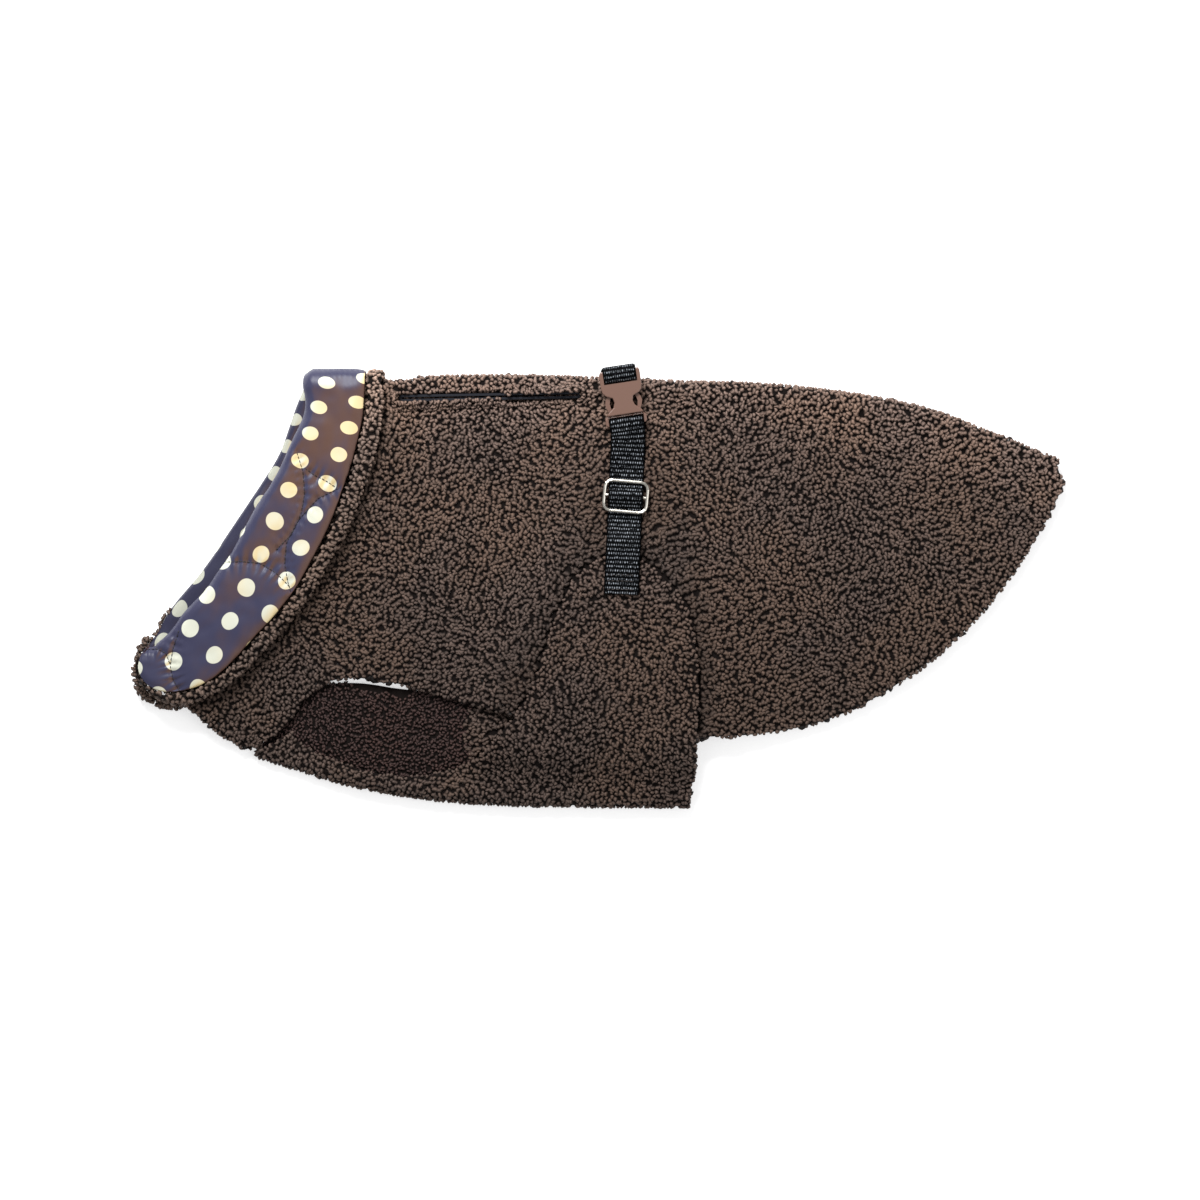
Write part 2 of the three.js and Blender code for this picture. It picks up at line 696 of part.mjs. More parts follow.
// Far strap: sewn on the far flap, up the far side to the spine
const farStrapPath = table(["y", "level"], [
  [35, 10.15], [50, 10.15], [64, 10.15], [75, 10.15], [86, 6.4], [98, 5.6],
]);
const spineWrapAngles = [0, 0.5, 1, 1.5];

// Far strap at the buckle: up past the socket's bar, over it and down into the slot
const socketLoop = table(["y", "z"], [
  [16.7, -3], [16.6, -0.4], [15.7, 1.9], [13.6, 2.5], [11, 2.4], [9.4, 1.6], [8.75, -0.2], [8.75, -1.8],
]);

// Point of the buckle's middle line, from the buckle's own plane to the coat
function fromBuckle({ y, z }) {
  const { turn, pitch } = bucklePlace;
  const along = y * Math.cos(pitch) - z * Math.sin(pitch);
  const up = y * Math.sin(pitch) + z * Math.cos(pitch);
  return new THREE.Vector3(
    bucklePlace.x - along * Math.sin(turn),
    bucklePlace.y + along * Math.cos(turn),
    buckleHeight() + up,
  );
}

function buckleHeight() {
  const { x, y } = bucklePlace;
  return middleAt(x, y) + bodyTop + spineBulge + buckleThickness / 2 + 2 * seamGap;
}

function strapNear() {
  const buckleSlope = -Math.tan(bucklePlace.turn);
  const onCoat = nearStrapPath.map(({ y, level }) => {
    const x = nearStrapX(y);
    const point = new THREE.Vector3(x, y, middleAt(x, y) + bulgeAt(x, y) + level);
    return { point, slope: nearStrap.slope, width: strapWidth };
  });
  const onBar = plugLoop.map((row) => ({ point: fromBuckle(row), slope: buckleSlope, width: strapWidth }));
  return strapAlong([...onCoat, ...onBar]);
}

function strapFar() {
  const spineX = farStrap.x;
  const spineY = readTable(bodySections, "spineX", spineX, "spineY");
  const level = bodyTop + spineBulge + 3 * seamGap + strapWall / 2;
  const onCoat = farStrapPath.map(({ y, level: rise }) => {
    const x = farStrapX(y);
    const point = new THREE.Vector3(x, y, middleAt(x, y) - bulgeAt(x, y) - rise);
    return { point, slope: 0, width: strapWidth };
  });
  const roundSpine = spineWrapAngles.map((angle) => {
    const y = spineY + level * Math.sin(angle);
    const point = new THREE.Vector3(farStrapX(y), y, middleAt(spineX, spineY) - level * Math.cos(angle));
    return { point, slope: 0, width: strapWidth };
  });
  const buckleSlope = -Math.tan(bucklePlace.turn);
  const onBar = socketLoop.map((row) => ({ point: fromBuckle(row), slope: buckleSlope, width: strapInSlot }));
  return strapAlong([...onCoat, ...roundSpine, ...onBar]);
}

// Turns a piece with the strap and sets it at a place on it
function setAt(geometry, x, y, z, turn, pitch) {
  geometry.rotateX(pitch);
  geometry.rotateZ(turn);
  geometry.translate(x, y, z);
  return geometry;
}

// Corner points of a rounded rectangle, in order round it
function roundedFrame(width, length, corner) {
  const points = [];
  const corners = [[1, 1], [-1, 1], [-1, -1], [1, -1]];
  corners.forEach(([sideX, sideY], quarter) => {
    for (let k = 0; k <= 3; k += 1) {
      const angle = (Math.PI / 2) * (quarter + k / 3);
      points.push(new THREE.Vector3(
        sideX * (width / 2 - corner) + corner * Math.cos(angle),
        sideY * (length / 2 - corner) + corner * Math.sin(angle),
        0,
      ));
    }
  });
  return points;
}

// A closed wire through a ring of points that lie in one plane
function ringOfWire(points, radius, sides) {
  const positions = [];
  const index = [];
  const count = points.length;
  points.forEach((point, i) => {
    const before = points[(i + count - 1) % count];
    const after = points[(i + 1) % count];
    const tangent = after.clone().sub(before).normalize();
    const side = new THREE.Vector3(tangent.y, -tangent.x, 0);
    for (let k = 0; k < sides; k += 1) {
      const angle = (2 * Math.PI * k) / sides;
      positions.push(
        point.x + side.x * radius * Math.cos(angle),
        point.y + side.y * radius * Math.cos(angle),
        radius * Math.sin(angle));
    }
  });
  for (let i = 0; i < count; i += 1) {
    for (let k = 0; k < sides; k += 1) {
      const a = i * sides + k;
      const b = i * sides + ((k + 1) % sides);
      const c = ((i + 1) % count) * sides + k;
      const d = ((i + 1) % count) * sides + ((k + 1) % sides);
      index.push(a, b, c, b, d, c);
    }
  }
  const geometry = new THREE.BufferGeometry();
  geometry.setAttribute("position", new THREE.Float32BufferAttribute(positions, 3));
  geometry.setIndex(index);
  return facingOut(geometry);
}

// Wire slider: a rounded frame over the strap, with its centre bar under the strap's hump
function slider() {
  const { width, length, corner } = sliderSize;
  const frame = ringOfWire(roundedFrame(width, length, corner), wireRadius, 8);
  const bar = new THREE.CylinderGeometry(wireRadius * 0.9, wireRadius * 0.9, width, 8);
  bar.rotateZ(Math.PI / 2);
  const x = nearStrapX(sliderPlace.y);
  const level = bodyTop + 2 * seamGap + strapWall + 2 * seamGap + wireRadius;
  return setAt(join(frame, bar), x, sliderPlace.y, middleAt(x, sliderPlace.y) + level, sliderPlace.turn, 0);
}

// A plate with an outline, between two heights, with its edges rounded over by a bevel
function extruded(points, low, high, bevel) {
  const shape = new THREE.Shape(points.map(([x, y]) => new THREE.Vector2(x, y)));
  const geometry = new THREE.ExtrudeGeometry(shape, {
    depth: high - low - 2 * bevel,
    bevelEnabled: bevel > 0,
    bevelThickness: bevel,
    bevelSize: bevel,
    bevelOffset: -bevel,
    bevelSegments: 2,
  });
  geometry.translate(0, 0, low + bevel);
  return geometry;
}

function box(x1, x2, y1, y2, z1, z2) {
  const geometry = new THREE.BoxGeometry(x2 - x1, y2 - y1, z2 - z1);
  geometry.translate((x1 + x2) / 2, (y1 + y2) / 2, (z1 + z2) / 2);
  return geometry;
}

function mirrored(half) {
  return [...half, ...half.slice().reverse().map(([x, y]) => [-x, y])];
}

// Half outlines of the buckle, each from its near end to its far end
const socketOutline = [
  [10.3, -10.6], [9.9, -9.2], [6.2, -6], [5.3, -3.4], [5.9, -0.8],
  [9.6, 0.9], [11.2, 2.6], [11.7, 5], [11.7, 13.6], [10.9, 15],
];
const prongOutline = [
  [8.7, -11.3], [8.8, -9], [9.9, -6.6], [10.7, -4], [10.2, -1.6], [8.9, 0.5], [8.1, 2.2],
  [7.1, 0.6], [7.5, -1.6], [8.1, -3.8], [7.7, -6.2], [6.8, -8.8], [6.6, -11.3],
];
const socketSlot = { half: 9.6, near: 7.5, far: 12.6, end: 15.2, barLow: -1.6, barHigh: 0.7 };
const channelSize = { half: 9.3, near: -11.3, far: 4.1 };
const plugFrame = { half: 11.9, inner: 10.3, near: -16.6, far: -10.95, slotNear: -14.3, slotFar: -11.7 };
const plugBar = { low: -1.5, high: 1.1 };
const tongueSize = { half: 2.6, far: 2.6 };

// Socket half of the buckle: two waisted plates joined by side walls, with a thin bar for the far strap
function buckleSocket() {
  const half = buckleThickness / 2;
  const { half: side, near, far, end, barLow, barHigh } = socketSlot;
  const body = extruded(mirrored(socketOutline), -half, half, buckleBevel);
  const channel = box(-channelSize.half, channelSize.half, channelSize.near, channelSize.far,
    -plateGap / 2, plateGap / 2);
  const slot = box(-side, side, near, far, -half - 1, half + 1);
  const aboveBar = box(-side, side, near, end, barHigh, half + 1);
  const belowBar = box(-side, side, near, end, -half - 1, barLow);
  return cut(body, channel, slot, aboveBar, belowBar);
}

// Plug half of the buckle: two rails and a thin bar for the near strap, a tongue and two side prongs
function bucklePlug() {
  const half = plateGap / 2 - plugPlay;
  const { half: side, inner, near, far, slotNear, slotFar } = plugFrame;
  const frame = extruded(mirrored([[side - 1, near], [side, near + 1], [side, far - 1.4], [side - 1.4, far]]),
    -half - buckleBevel, half + buckleBevel, buckleBevel);
  const slot = box(-inner, inner, slotNear, slotFar, -half - 2, half + 2);
  const aboveBar = box(-inner, inner, near - 1, slotNear, plugBar.high, half + 2);
  const belowBar = box(-inner, inner, near - 1, slotNear, -half - 2, plugBar.low);
  const right = extruded(prongOutline, -half, half, 0);
  const left = extruded(prongOutline.map(([x, y]) => [-x, y]).reverse(), -half, half, 0);
  const tongue = box(-tongueSize.half, tongueSize.half, slotFar + 0.5, tongueSize.far, -half, half);
  return join(cut(frame, slot, aboveBar, belowBar), right, left, tongue);
}

function onBuckle(geometry) {
  const { x, y, turn, pitch } = bucklePlace;
  return setAt(geometry, x, y, buckleHeight(), turn, pitch);
}

const materials = {
  fleece: new THREE.MeshStandardMaterial({ color: 0x2f2019, roughness: 0.95, metalness: 0 }),
  satin: new THREE.MeshStandardMaterial({ color: 0x5b4a44, roughness: 0.38, metalness: 0 }),
  tape: new THREE.MeshStandardMaterial({ color: 0x14161d, roughness: 0.8, metalness: 0 }),
  webbing: new THREE.MeshStandardMaterial({ color: 0x17171a, roughness: 0.75, metalness: 0 }),
  nickel: new THREE.MeshStandardMaterial({ color: 0xb9b7b0, roughness: 0.25, metalness: 1 }),
  plastic: new THREE.MeshStandardMaterial({ color: 0x3c2a22, roughness: 0.45, metalness: 0 }),
};

const coat = new THREE.Group();

function add(name, geometry, material) {
  const mesh = new THREE.Mesh(geometry, material);
  mesh.name = name;
  coat.add(mesh);
}

add("back_panel", backPanel(), materials.fleece);
add("belly_panel", bellyPanel(), materials.fleece);
add("collar_fleece", collarLayer(standFleece, collarFleeceWall, 2, () => 0), materials.fleece);
add("collar_lining", collarLayer(halfGap, liningWall, 10, puffAt), materials.satin);
add("collar_rim", collarRim(), materials.fleece);
add("slit_binding", slitBinding(), materials.tape);
add("strap_near", strapNear(), materials.webbing);
add("strap_far", strapFar(), materials.webbing);
add("slider", slider(), materials.nickel);
add("buckle_socket", onBuckle(buckleSocket()), materials.plastic);
add("buckle_plug", onBuckle(bucklePlug()), materials.plastic);

const bounds = new THREE.Box3().setFromObject(coat);
coat.position.set(-(bounds.min.x + bounds.max.x) / 2, -(bounds.min.y + bounds.max.y) / 2, -bounds.min.z);

export default coat;
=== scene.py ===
"""Looks of a dog's winter coat laid flat: curled fleece, a dotted satin collar, webbing and a buckle."""

import math

import bmesh
import bpy
import numpy as np
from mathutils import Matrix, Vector, noise
from mathutils.bvhtree import BVHTree
from mathutils.kdtree import KDTree


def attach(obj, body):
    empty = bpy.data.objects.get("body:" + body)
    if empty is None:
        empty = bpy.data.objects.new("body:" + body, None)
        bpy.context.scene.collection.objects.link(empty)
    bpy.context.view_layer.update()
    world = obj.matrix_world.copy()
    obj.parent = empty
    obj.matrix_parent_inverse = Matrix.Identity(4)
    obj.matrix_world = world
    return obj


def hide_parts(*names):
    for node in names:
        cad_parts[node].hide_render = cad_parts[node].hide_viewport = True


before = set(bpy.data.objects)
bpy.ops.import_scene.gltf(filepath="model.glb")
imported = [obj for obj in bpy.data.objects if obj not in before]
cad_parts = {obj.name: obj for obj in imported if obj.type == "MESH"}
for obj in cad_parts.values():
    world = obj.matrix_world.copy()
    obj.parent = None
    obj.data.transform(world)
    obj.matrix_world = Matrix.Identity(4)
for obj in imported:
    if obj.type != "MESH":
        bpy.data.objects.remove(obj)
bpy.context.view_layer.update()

# Sizes and places are in millimetres in the model's frame, seen from above, except where metres are named
MM = 0.001
ROOT = "root"
TINT = "tint"
DOWN = Vector((0, 0, -1))
ABOVE_ALL = 0.1  # metres

# The photograph's frame: size of a pixel on the coat, centre, height of view over the coat's top
PIXEL = 0.575
FRAME_PIXELS = 1200
FRAME_CENTRE = (-1.4, -7.6)
VIEW_HEIGHT = 1640
COAT_TOP = 14
SENSOR = 36

# Studio, in metres: the floor, and the lights by name, place, watts and size
FLOOR_REACH = 3.0
FLOOR_LEVEL = -0.0002
FLOOR_GLOW = 0.5
WORLD_STRENGTH = 0.42
LIGHTS = [
    ("key_light", (-0.3, 0.85, 0.75), 21, 0.5),
    ("fill_light", (1.2, -0.4, 1.7), 9, 1.4),
]

# Fleece cloths: solid, name, width of the flat cut over its length, how it is held and what it rests on
FLEECE = [
    ("back_panel", "back", 0.9, "folded", "belly_panel"),
    ("belly_panel", "belly", 0.8, "folded", "back_panel"),
    ("collar_fleece", "under_collar", 0.25, "laid", "back_panel"),
    ("collar_rim", "rim", 0.06, "laid", "back_panel"),
]
FLEECE_LEVELS = 1
PANELS = ("back", "belly")

# The pile: how far the cloth lies inside the solid, and the curls' spacing outside, inside and underneath
PILE_DEPTH = 1.3
CURL_PITCH = 2.1
INNER_PITCH = 1.8
UNDER_PITCH = 3.7
TRIES_PER_POINT = 9
SPACING_SHARE = 0.86
OUTER_SEED = 11
INNER_SEED = 41
UNDER_SEED = 23
ROW_SEED = 31

# A curl: length, radius, sides, and the rings along it with their width
CURL_LENGTH = 3.5
CURL_RADIUS = 1.34
CURL_SIDES = 4
CURL_RINGS = ((-0.3, 0.86), (0.0, 1.0), (0.3, 0.86))
LOWEST_CURL = 0.00005  # metres
PIECE_TRIANGLES = 190000

# Kinds of curl: share of the length, share of the radius, rise over the cloth, and seed
OUTER_CURL = (1.0, 1.0, 0.5, 21)
INNER_CURL = (0.75, 0.72, 0.4, 22)
UNDER_CURL = (1.35, 1.2, 0.4, 24)
ROW_CURL = (0.85, 0.8, 0.3, 32)

# The upper face of the lower wall is the coat's inside, and what faces further down than this is underneath
INNER_TOP = 6.0
INNER_FACING = 0.4
UNDER_FACING = -0.35

# No curls grow close under another cloth, nor where the open air can't be seen
COVER_START = 0.5
COVER_REACH = 2.4
LOOK_REACH = 80
OUTWARD_LOOKS = [(0, 0, 1)] + [(math.cos(a), math.sin(a), 0.8) for a in np.arange(6) * math.pi / 3]

# Dark lines left bare beside what lies on a cloth, where the ground's painted shade shows: the line's reach,
# and the lowest x where it runs
EVERYWHERE = -1000
NO_LINE = (0, 0)
FLAP_FROM = -60
FLAP_LINE = (3.0, FLAP_FROM)
RIM_LINE = (2.6, EVERYWHERE)
BARE_LINES = {"back": {"belly": FLAP_LINE, "rim": RIM_LINE}, "belly": {"rim": RIM_LINE}}

# Painted shade on the body beside what lies on it: cloth, reach, lowest x. The curls are paler a little way
# in from a turned edge
CONTACT_SHADES = [("belly", 15, FLAP_FROM), ("rim", 10, EVERYWHERE)]
EDGE_REACH = 5.5
EDGE_FACING = 0.4

# The narrow slot between the two leg-hole edges, where the floor shows
LEG_SLOT = [(-140.5, -55.4), (-115, -60.3)]
LEG_SLOT_REACH = 3.5

# Soft troughs and ridges of the fleece: from, to, half width and height; weaker and moved in the lower wall
CREASES = [
    ((34, 112), (62, 86), 8, -1.9),
    ((46, 118), (82, 88), 9, 1.7),
    ((-128, 100), (-150, 30), 7, -1.2),
    ((-150, 30), (-205, -45), 7, -1.2),
    ((-110, 70), (-60, 20), 20, 1.2),
    ((-60, -10), (-25, 30), 13, -1.3),
    ((95, 60), (170, 10), 22, 1.4),
    ((70, -20), (120, -60), 16, -0.8),
]
LOWER_SHIFT = (18, -14)
LOWER_SHARE = 0.5

# Rows of curls: from, to, way to the left of the line, and height over the cloth
SLIT_ROWS = [((-120, 106.6), (-9.5, 112.0), side * offset, lift)
             for offset, lift in ((1.55, 3.1), (3.2, 2.1), (4.8, 1.0)) for side in (-1, 1)]
NECK_ROWS = [((-202.5, -86), (-195.5, -97), offset, 1.2) for offset in (-2.4, -0.9, 0.6, 2.1)]
END_LINE = [(-260.5, -31), (-264.8, -38), (-267.4, -46), (-267.8, -53), (-264.5, -59.5), (-256.5, -65.5),
            (-246.7, -67), (-237, -64.5)]
END_LIFTS = ((0.9, 2.0), (-0.6, 4.0), (-2.0, 5.2), (-3.3, 3.6), (-1.3, 1.4), (-2.6, 1.8))
END_ROWS = [(start, end, offset, lift) for start, end in zip(END_LINE, END_LINE[1:])
            for offset, lift in END_LIFTS]
LOOSE_ROWS = [((-248.6, -13.5), (-260.0, -32.5), offset, lift) for offset, lift in ((0.2, 3.0), (-1.3, 5.0))]
SLIT_CLEAR = 3.4
GAP_LEVEL = 3.5

# Painted light on the yarn, palest along the spine's fold where the light falls: the fold and its bend
# towards the tail, how far the painted light reaches, and its gains
SPINE_LEVEL = 119
SPINE_BEND_FROM = 60
SPINE_BEND = 1.1
SPINE_NEAR = 46
SPINE_BROAD = (15, 210)
SPINE_GAINS = {"base": 0.82, "near": 0.95, "broad": 0.34}

# Lining: the fold of the collar, then the dots with their lattice's two steps, one dot's centre and its bends
LINING_LEVELS = 2
LINING_CUT = 0.3
FOLD_TOP = 18.7
FOLD_OUTWARD = (-0.826, 0.563)
FOLD_SPREAD = 0.9
DOT_RADIUS = 4.95
DOT_BLUR = 0.18
DOT_STEP_ALONG = (-8.07, -18.75)
DOT_STEP_ACROSS = (-22.7, -3.83)
DOT_CENTRE = (-124.2, 134.9)
DOT_BEND_FROM = 40
DOT_BEND = (1.9, 2.4)
DOT_LOW_FROM = 6
DOT_LOW_SPREAD = (0.06, 0.03)

# Quilting seen from above, and how the satin sinks, puckers and crumples: heights, reaches and wave lengths
STITCH_LINES = [
    [(-175, 77), (-171.5, 66), (-170.5, 53.5), (-172.5, 42), (-178, 30), (-188.5, 19.5)],
    [(-170.5, 68), (-165, 64), (-159, 61), (-152, 56.5)],
    [(-151, 56.5), (-163, 50.5), (-174, 38.5), (-181, 25), (-182, 13), (-180, 2), (-177.5, -6)],
    [(-217.5, 14), (-207, 14.5), (-196, 13.5), (-187, 8), (-181, 2), (-177.5, -1.5)],
    [(-242.5, -25), (-246, -36), (-247.5, -45), (-246, -53), (-242, -60)],
    [(-261, -36), (-255, -35.5), (-250, -38), (-247.5, -45)],
]
SINK_DEPTH = 0.7
SINK_REACH = 1.4
PUCKER_HEIGHT = 0.4
PUCKER_REACH = 5.0
PUCKER_PITCH = 5.2
CRUMPLE_HEIGHT = 0.6
CRUMPLE_SCALES = (75, 160)
UPPER_SATIN = 10
QUILT_STITCH = {"pitch": 2.3, "length": 1.7, "radius": 0.26}

# Stitches: sides, the rings along one with their width, and how far it sinks into the cloth
STITCH_SIDES = 6
STITCH_RINGS = ((0.0, 0.45), (0.18, 1.0), (0.82, 1.0), (1.0, 0.45))
STITCH_SINK = 0.05
STITCH_STEP = 0.25

# Webbing: its wall, ribs and beads, the wider loop over the spine, and the sewing at its lower end
WEBBING_WALL = 1.9
SECTION_POINTS = 8
RIB_PITCH = 2.45
RIB_HEIGHT = 0.5
RIB_STEPS = 5
BEADS = 15
BEAD_COLUMNS = 3
BEAD_SHARE = 0.55
SELVEDGE = 9
LOOP_FROM = 113
LOOP_WIDER = 1.03
STRAP_STITCHES = [[(2.6, 6.8), (19.4, 6.5)], [(2.4, 3.4), (19.2, 3.1)], [(2.4, -1.4), (19.0, -1.8)]]
STRAP_STITCH = {"pitch": 2.6, "length": 1.9, "radius": 0.3}


def colour(red, green, blue):
    return (red, green, blue, 1.0)


# The ground, painted dark for the shade between the curls. Yarns: a curl's foot, painted dark for its shade,
# the tone of its top, painted light for the light there, and its warm one
SHADED_BACKING = (colour(0.003, 0.002, 0.002), colour(0.010, 0.007, 0.006))
BODY_YARN = (colour(0.003, 0.002, 0.002), colour(0.148, 0.102, 0.083), colour(0.152, 0.090, 0.058))
RIM_YARN = (colour(0.006, 0.004, 0.003), colour(0.225, 0.160, 0.131), colour(0.200, 0.128, 0.090))
INNER_YARN = (colour(0.002, 0.001, 0.001), colour(0.072, 0.040, 0.035), colour(0.066, 0.031, 0.023))
# The satin and its dots in warm light, and with the painted reflection of a cool blue light
SATIN_BROWN = colour(0.098, 0.053, 0.041)
SATIN_BLUE = colour(0.038, 0.038, 0.074)
DOT_WARM = colour(0.69, 0.55, 0.30)
DOT_COOL = colour(0.56, 0.57, 0.48)
# Webbing: its black foot, and the painted glint on its bead tops
WEBBING_FOOT = colour(0.0005, 0.0006, 0.0009)
WEBBING_PAINTED_GLINT = colour(0.70, 0.76, 0.84)


def finish_piece(piece, slot, *nodes):
    """Places a piece on the object and hides the solids that it stands for. Its slot, the name of its finish,
    is not used.
    """
    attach(piece, ROOT)
    if nodes:
        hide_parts(*nodes)
    return piece


def new_object(name, vertices, faces, material, smooth=True):
    """An object from points and from faces that all have the same number of sides."""
    mesh = bpy.data.meshes.new(name)
    mesh.vertices.add(len(vertices))
    mesh.vertices.foreach_set("co", np.asarray(vertices, np.float32).ravel())
    faces = np.asarray(faces, np.int32)
    sides = faces.shape[1]
    mesh.loops.add(faces.size)
    mesh.loops.foreach_set("vertex_index", faces.ravel())
    mesh.polygons.add(len(faces))
    mesh.polygons.foreach_set("loop_start", np.arange(0, faces.size, sides, dtype=np.int32))
    mesh.polygons.foreach_set("use_smooth", np.full(len(faces), smooth))
    mesh.update(calc_edges=True)
    mesh.validate()
    mesh.materials.append(material)
    piece = bpy.data.objects.new(name, mesh)
    bpy.context.scene.collection.objects.link(piece)
    return piece


def give_tint(piece, values):
    """Stores three values for each point, which the materials read as a colour."""
    attribute = piece.data.color_attributes.new(TINT, "FLOAT_COLOR", "POINT")
    opaque = np.ones((len(values), 1))
    attribute.data.foreach_set("color", np.hstack([values, opaque]).astype(np.float32).ravel())


def mesh_arrays(mesh):
    """Vertices, triangles and vertex normals of a mesh."""
    mesh.calc_loop_triangles()
    points = np.empty(len(mesh.vertices) * 3, np.float64)
    mesh.vertices.foreach_get("co", points)
    triangles = np.empty(len(mesh.loop_triangles) * 3, np.int32)
    mesh.loop_triangles.foreach_get("vertices", triangles)
    normals = np.empty(len(mesh.vertices) * 3, np.float32)
    mesh.vertex_normals.foreach_get("vector", normals)
    return points.reshape(-1, 3), triangles.reshape(-1, 3), normals.reshape(-1, 3).astype(np.float64)


def set_points(piece, points):
    piece.data.vertices.foreach_set("co", points.ravel().astype(np.float32))
    piece.data.update()


def triangle_areas(points, triangles):
    a, b, c = (points[triangles[:, k]] for k in range(3))
    return np.linalg.norm(np.cross(b - a, c - a), axis=1) / 2


def tree_of(piece_or_node):
    points, triangles, _ = mesh_arrays(piece_or_node.data)
    return BVHTree.FromPolygons(points.tolist(), triangles.tolist())


def drop_on(tree, x, y):
    """The highest point of a surface at a place given in metres, or None beside it."""
    return tree.ray_cast(Vector((x, y, ABOVE_ALL)), DOWN)[0]


def node_copy(node, name, material, levels):
    """A separate copy of a solid's mesh, with its points merged and its faces subdivided smoothly."""
    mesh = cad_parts[node].data.copy()
    mesh.materials.clear()
    mesh.materials.append(material)
    piece = bpy.data.objects.new(name, mesh)
    bpy.context.scene.collection.objects.link(piece)
    weld = piece.modifiers.new("weld", "WELD")
    weld.merge_threshold = 0.00001
    smooth = piece.modifiers.new("smooth", "SUBSURF")
    smooth.levels = levels
    smooth.render_levels = levels
    apply_modifiers(piece)
    for polygon in piece.data.polygons:
        polygon.use_smooth = True
    return piece


def apply_modifiers(piece):
    graph = bpy.context.evaluated_depsgraph_get()
    graph.update()
    mesh = bpy.data.meshes.new_from_object(piece.evaluated_get(graph))
    piece.modifiers.clear()
    old = piece.data
    piece.data = mesh
    bpy.data.meshes.remove(old)


def move_along_normals(piece, distance):
    """Moves each point along its normal by a distance in millimetres, but never below the floor."""
    points, _, normals = mesh_arrays(piece.data)
    points += normals * (np.asarray(distance).reshape(-1, 1) * MM)
    points[:, 2] = np.maximum(points[:, 2], 0)
    set_points(piece, points)


def flat_size(piece, width_over_length):
    """A rectangle of the cloth's own flat area, half of what the closed wall's faces measure."""
    points, triangles, _ = mesh_arrays(piece.data)
    area = triangle_areas(points, triangles).sum() / 2
    length = math.sqrt(area / width_over_length)
    return length * width_over_length, length


def distance_to_lines(x, y, lines):
    """Distance to the nearest of several lines, and how far along them that is, in millimetres."""
    best = np.full(len(x), 1e9)
    along = np.zeros(len(x))
    for line in lines:
        travelled = 0.0
        for (x1, y1), (x2, y2) in zip(line, line[1:]):
            length = math.hypot(x2 - x1, y2 - y1)
            t = np.clip(((x - x1) * (x2 - x1) + (y - y1) * (y2 - y1)) / length ** 2, 0, 1)
            distance = np.hypot(x - x1 - t * (x2 - x1), y - y1 - t * (y2 - y1))
            nearer = distance < best
            best[nearer] = distance[nearer]
            along[nearer] = travelled + t[nearer] * length
            travelled += length
    return best, along


class Shader:
    """A small helper that adds nodes to a material and links them."""

    def __init__(self, name):
        self.material = bpy.data.materials.new(name)
        self.material.use_nodes = True
        self.tree = self.material.node_tree
        self.tree.nodes.clear()
        self.surface = self.add("ShaderNodeBsdfPrincipled")
        output = self.add("ShaderNodeOutputMaterial")
        self.link(self.surface.outputs[0], output.inputs["Surface"])

    def add(self, kind, **settings):
        node = self.tree.nodes.new(kind)
        for key, value in settings.items():
            setattr(node, key, value)
        return node

    def link(self, source, target):
        self.tree.links.new(source, target)

    def put(self, target, value):
        if isinstance(value, bpy.types.NodeSocket):
            self.link(value, target)
        else:
            target.default_value = value

    def set(self, **values):
        for key, value in values.items():
            self.surface.inputs[key.replace("_", " ")].default_value = value

    def paint(self, base_colour):
        self.link(base_colour, self.surface.inputs["Base Color"])

    def geometry(self, output):
        return self.add("ShaderNodeNewGeometry").outputs[output]

    def axes(self):
        """The three coordinates of the place on the object, in metres."""
        parts = self.add("ShaderNodeSeparateXYZ")
        self.link(self.geometry("Position"), parts.inputs[0])
        return parts.outputs

    def tint(self):
        """The three values that the mesh stores for each point."""
        attribute = self.add("ShaderNodeVertexColor", layer_name=TINT)
        parts = self.add("ShaderNodeSeparateColor")
        self.link(attribute.outputs["Color"], parts.inputs[0])
        return parts.outputs

    def math(self, operation, a, b=0.0):
        node = self.add("ShaderNodeMath", operation=operation)
        self.put(node.inputs[0], a)
        self.put(node.inputs[1], b)
        return node.outputs[0]

    def plus(self, a, b):
        return self.math("ADD", a, b)

    def minus(self, a, b):
        return self.math("SUBTRACT", a, b)

    def times(self, a, b):
        return self.math("MULTIPLY", a, b)

    def positive(self, a):
        return self.math("MAXIMUM", a, 0.0)

    def scaled(self, vector, factor):
        node = self.add("ShaderNodeVectorMath", operation="SCALE")
        self.put(node.inputs[0], vector)
        self.put(node.inputs["Scale"], factor)
        return node.outputs["Vector"]

    def dot(self, a, b):
        node = self.add("ShaderNodeVectorMath", operation="DOT_PRODUCT")
        self.put(node.inputs[0], a)
        self.put(node.inputs[1], b)
        return node.outputs["Value"]

    def mix(self, factor, a, b):
        node = self.add("ShaderNodeMix", data_type="RGBA")
        self.put(node.inputs[0], factor)
        self.put(node.inputs[6], a)
        self.put(node.inputs[7], b)
        return node.outputs[2]

    def noise(self, scale, detail):
        node = self.add("ShaderNodeTexNoise")
        node.inputs["Scale"].default_value = scale
        node.inputs["Detail"].default_value = detail
        self.link(self.geometry("Position"), node.inputs["Vector"])
        return node.outputs["Fac"]

    def between(self, value, low, high):
        node = self.add("ShaderNodeMapRange", interpolation_type="SMOOTHSTEP")
        self.put(node.inputs["Value"], value)
        node.inputs["From Min"].default_value = low
        node.inputs["From Max"].default_value = high
        return node.outputs["Result"]

    def bump(self, height, strength, distance):
        node = self.add("ShaderNodeBump")
        node.inputs["Strength"].default_value = strength
        node.inputs["Distance"].default_value = distance
        self.link(height, node.inputs["Height"])
        self.link(node.outputs["Normal"], self.surface.inputs["Normal"])


def shaded_backing_material(name, dark, light):
    """The knitted ground between the curls, painted dark for the shade between them, with a fine grain."""
    s = Shader(name)
    s.set(Roughness=0.95, Specular_IOR_Level=0.1)
    grain = s.noise(700, 3)
    s.paint(s.mix(grain, dark, light))
    s.bump(grain, 0.6, 0.0004)
    return s.material


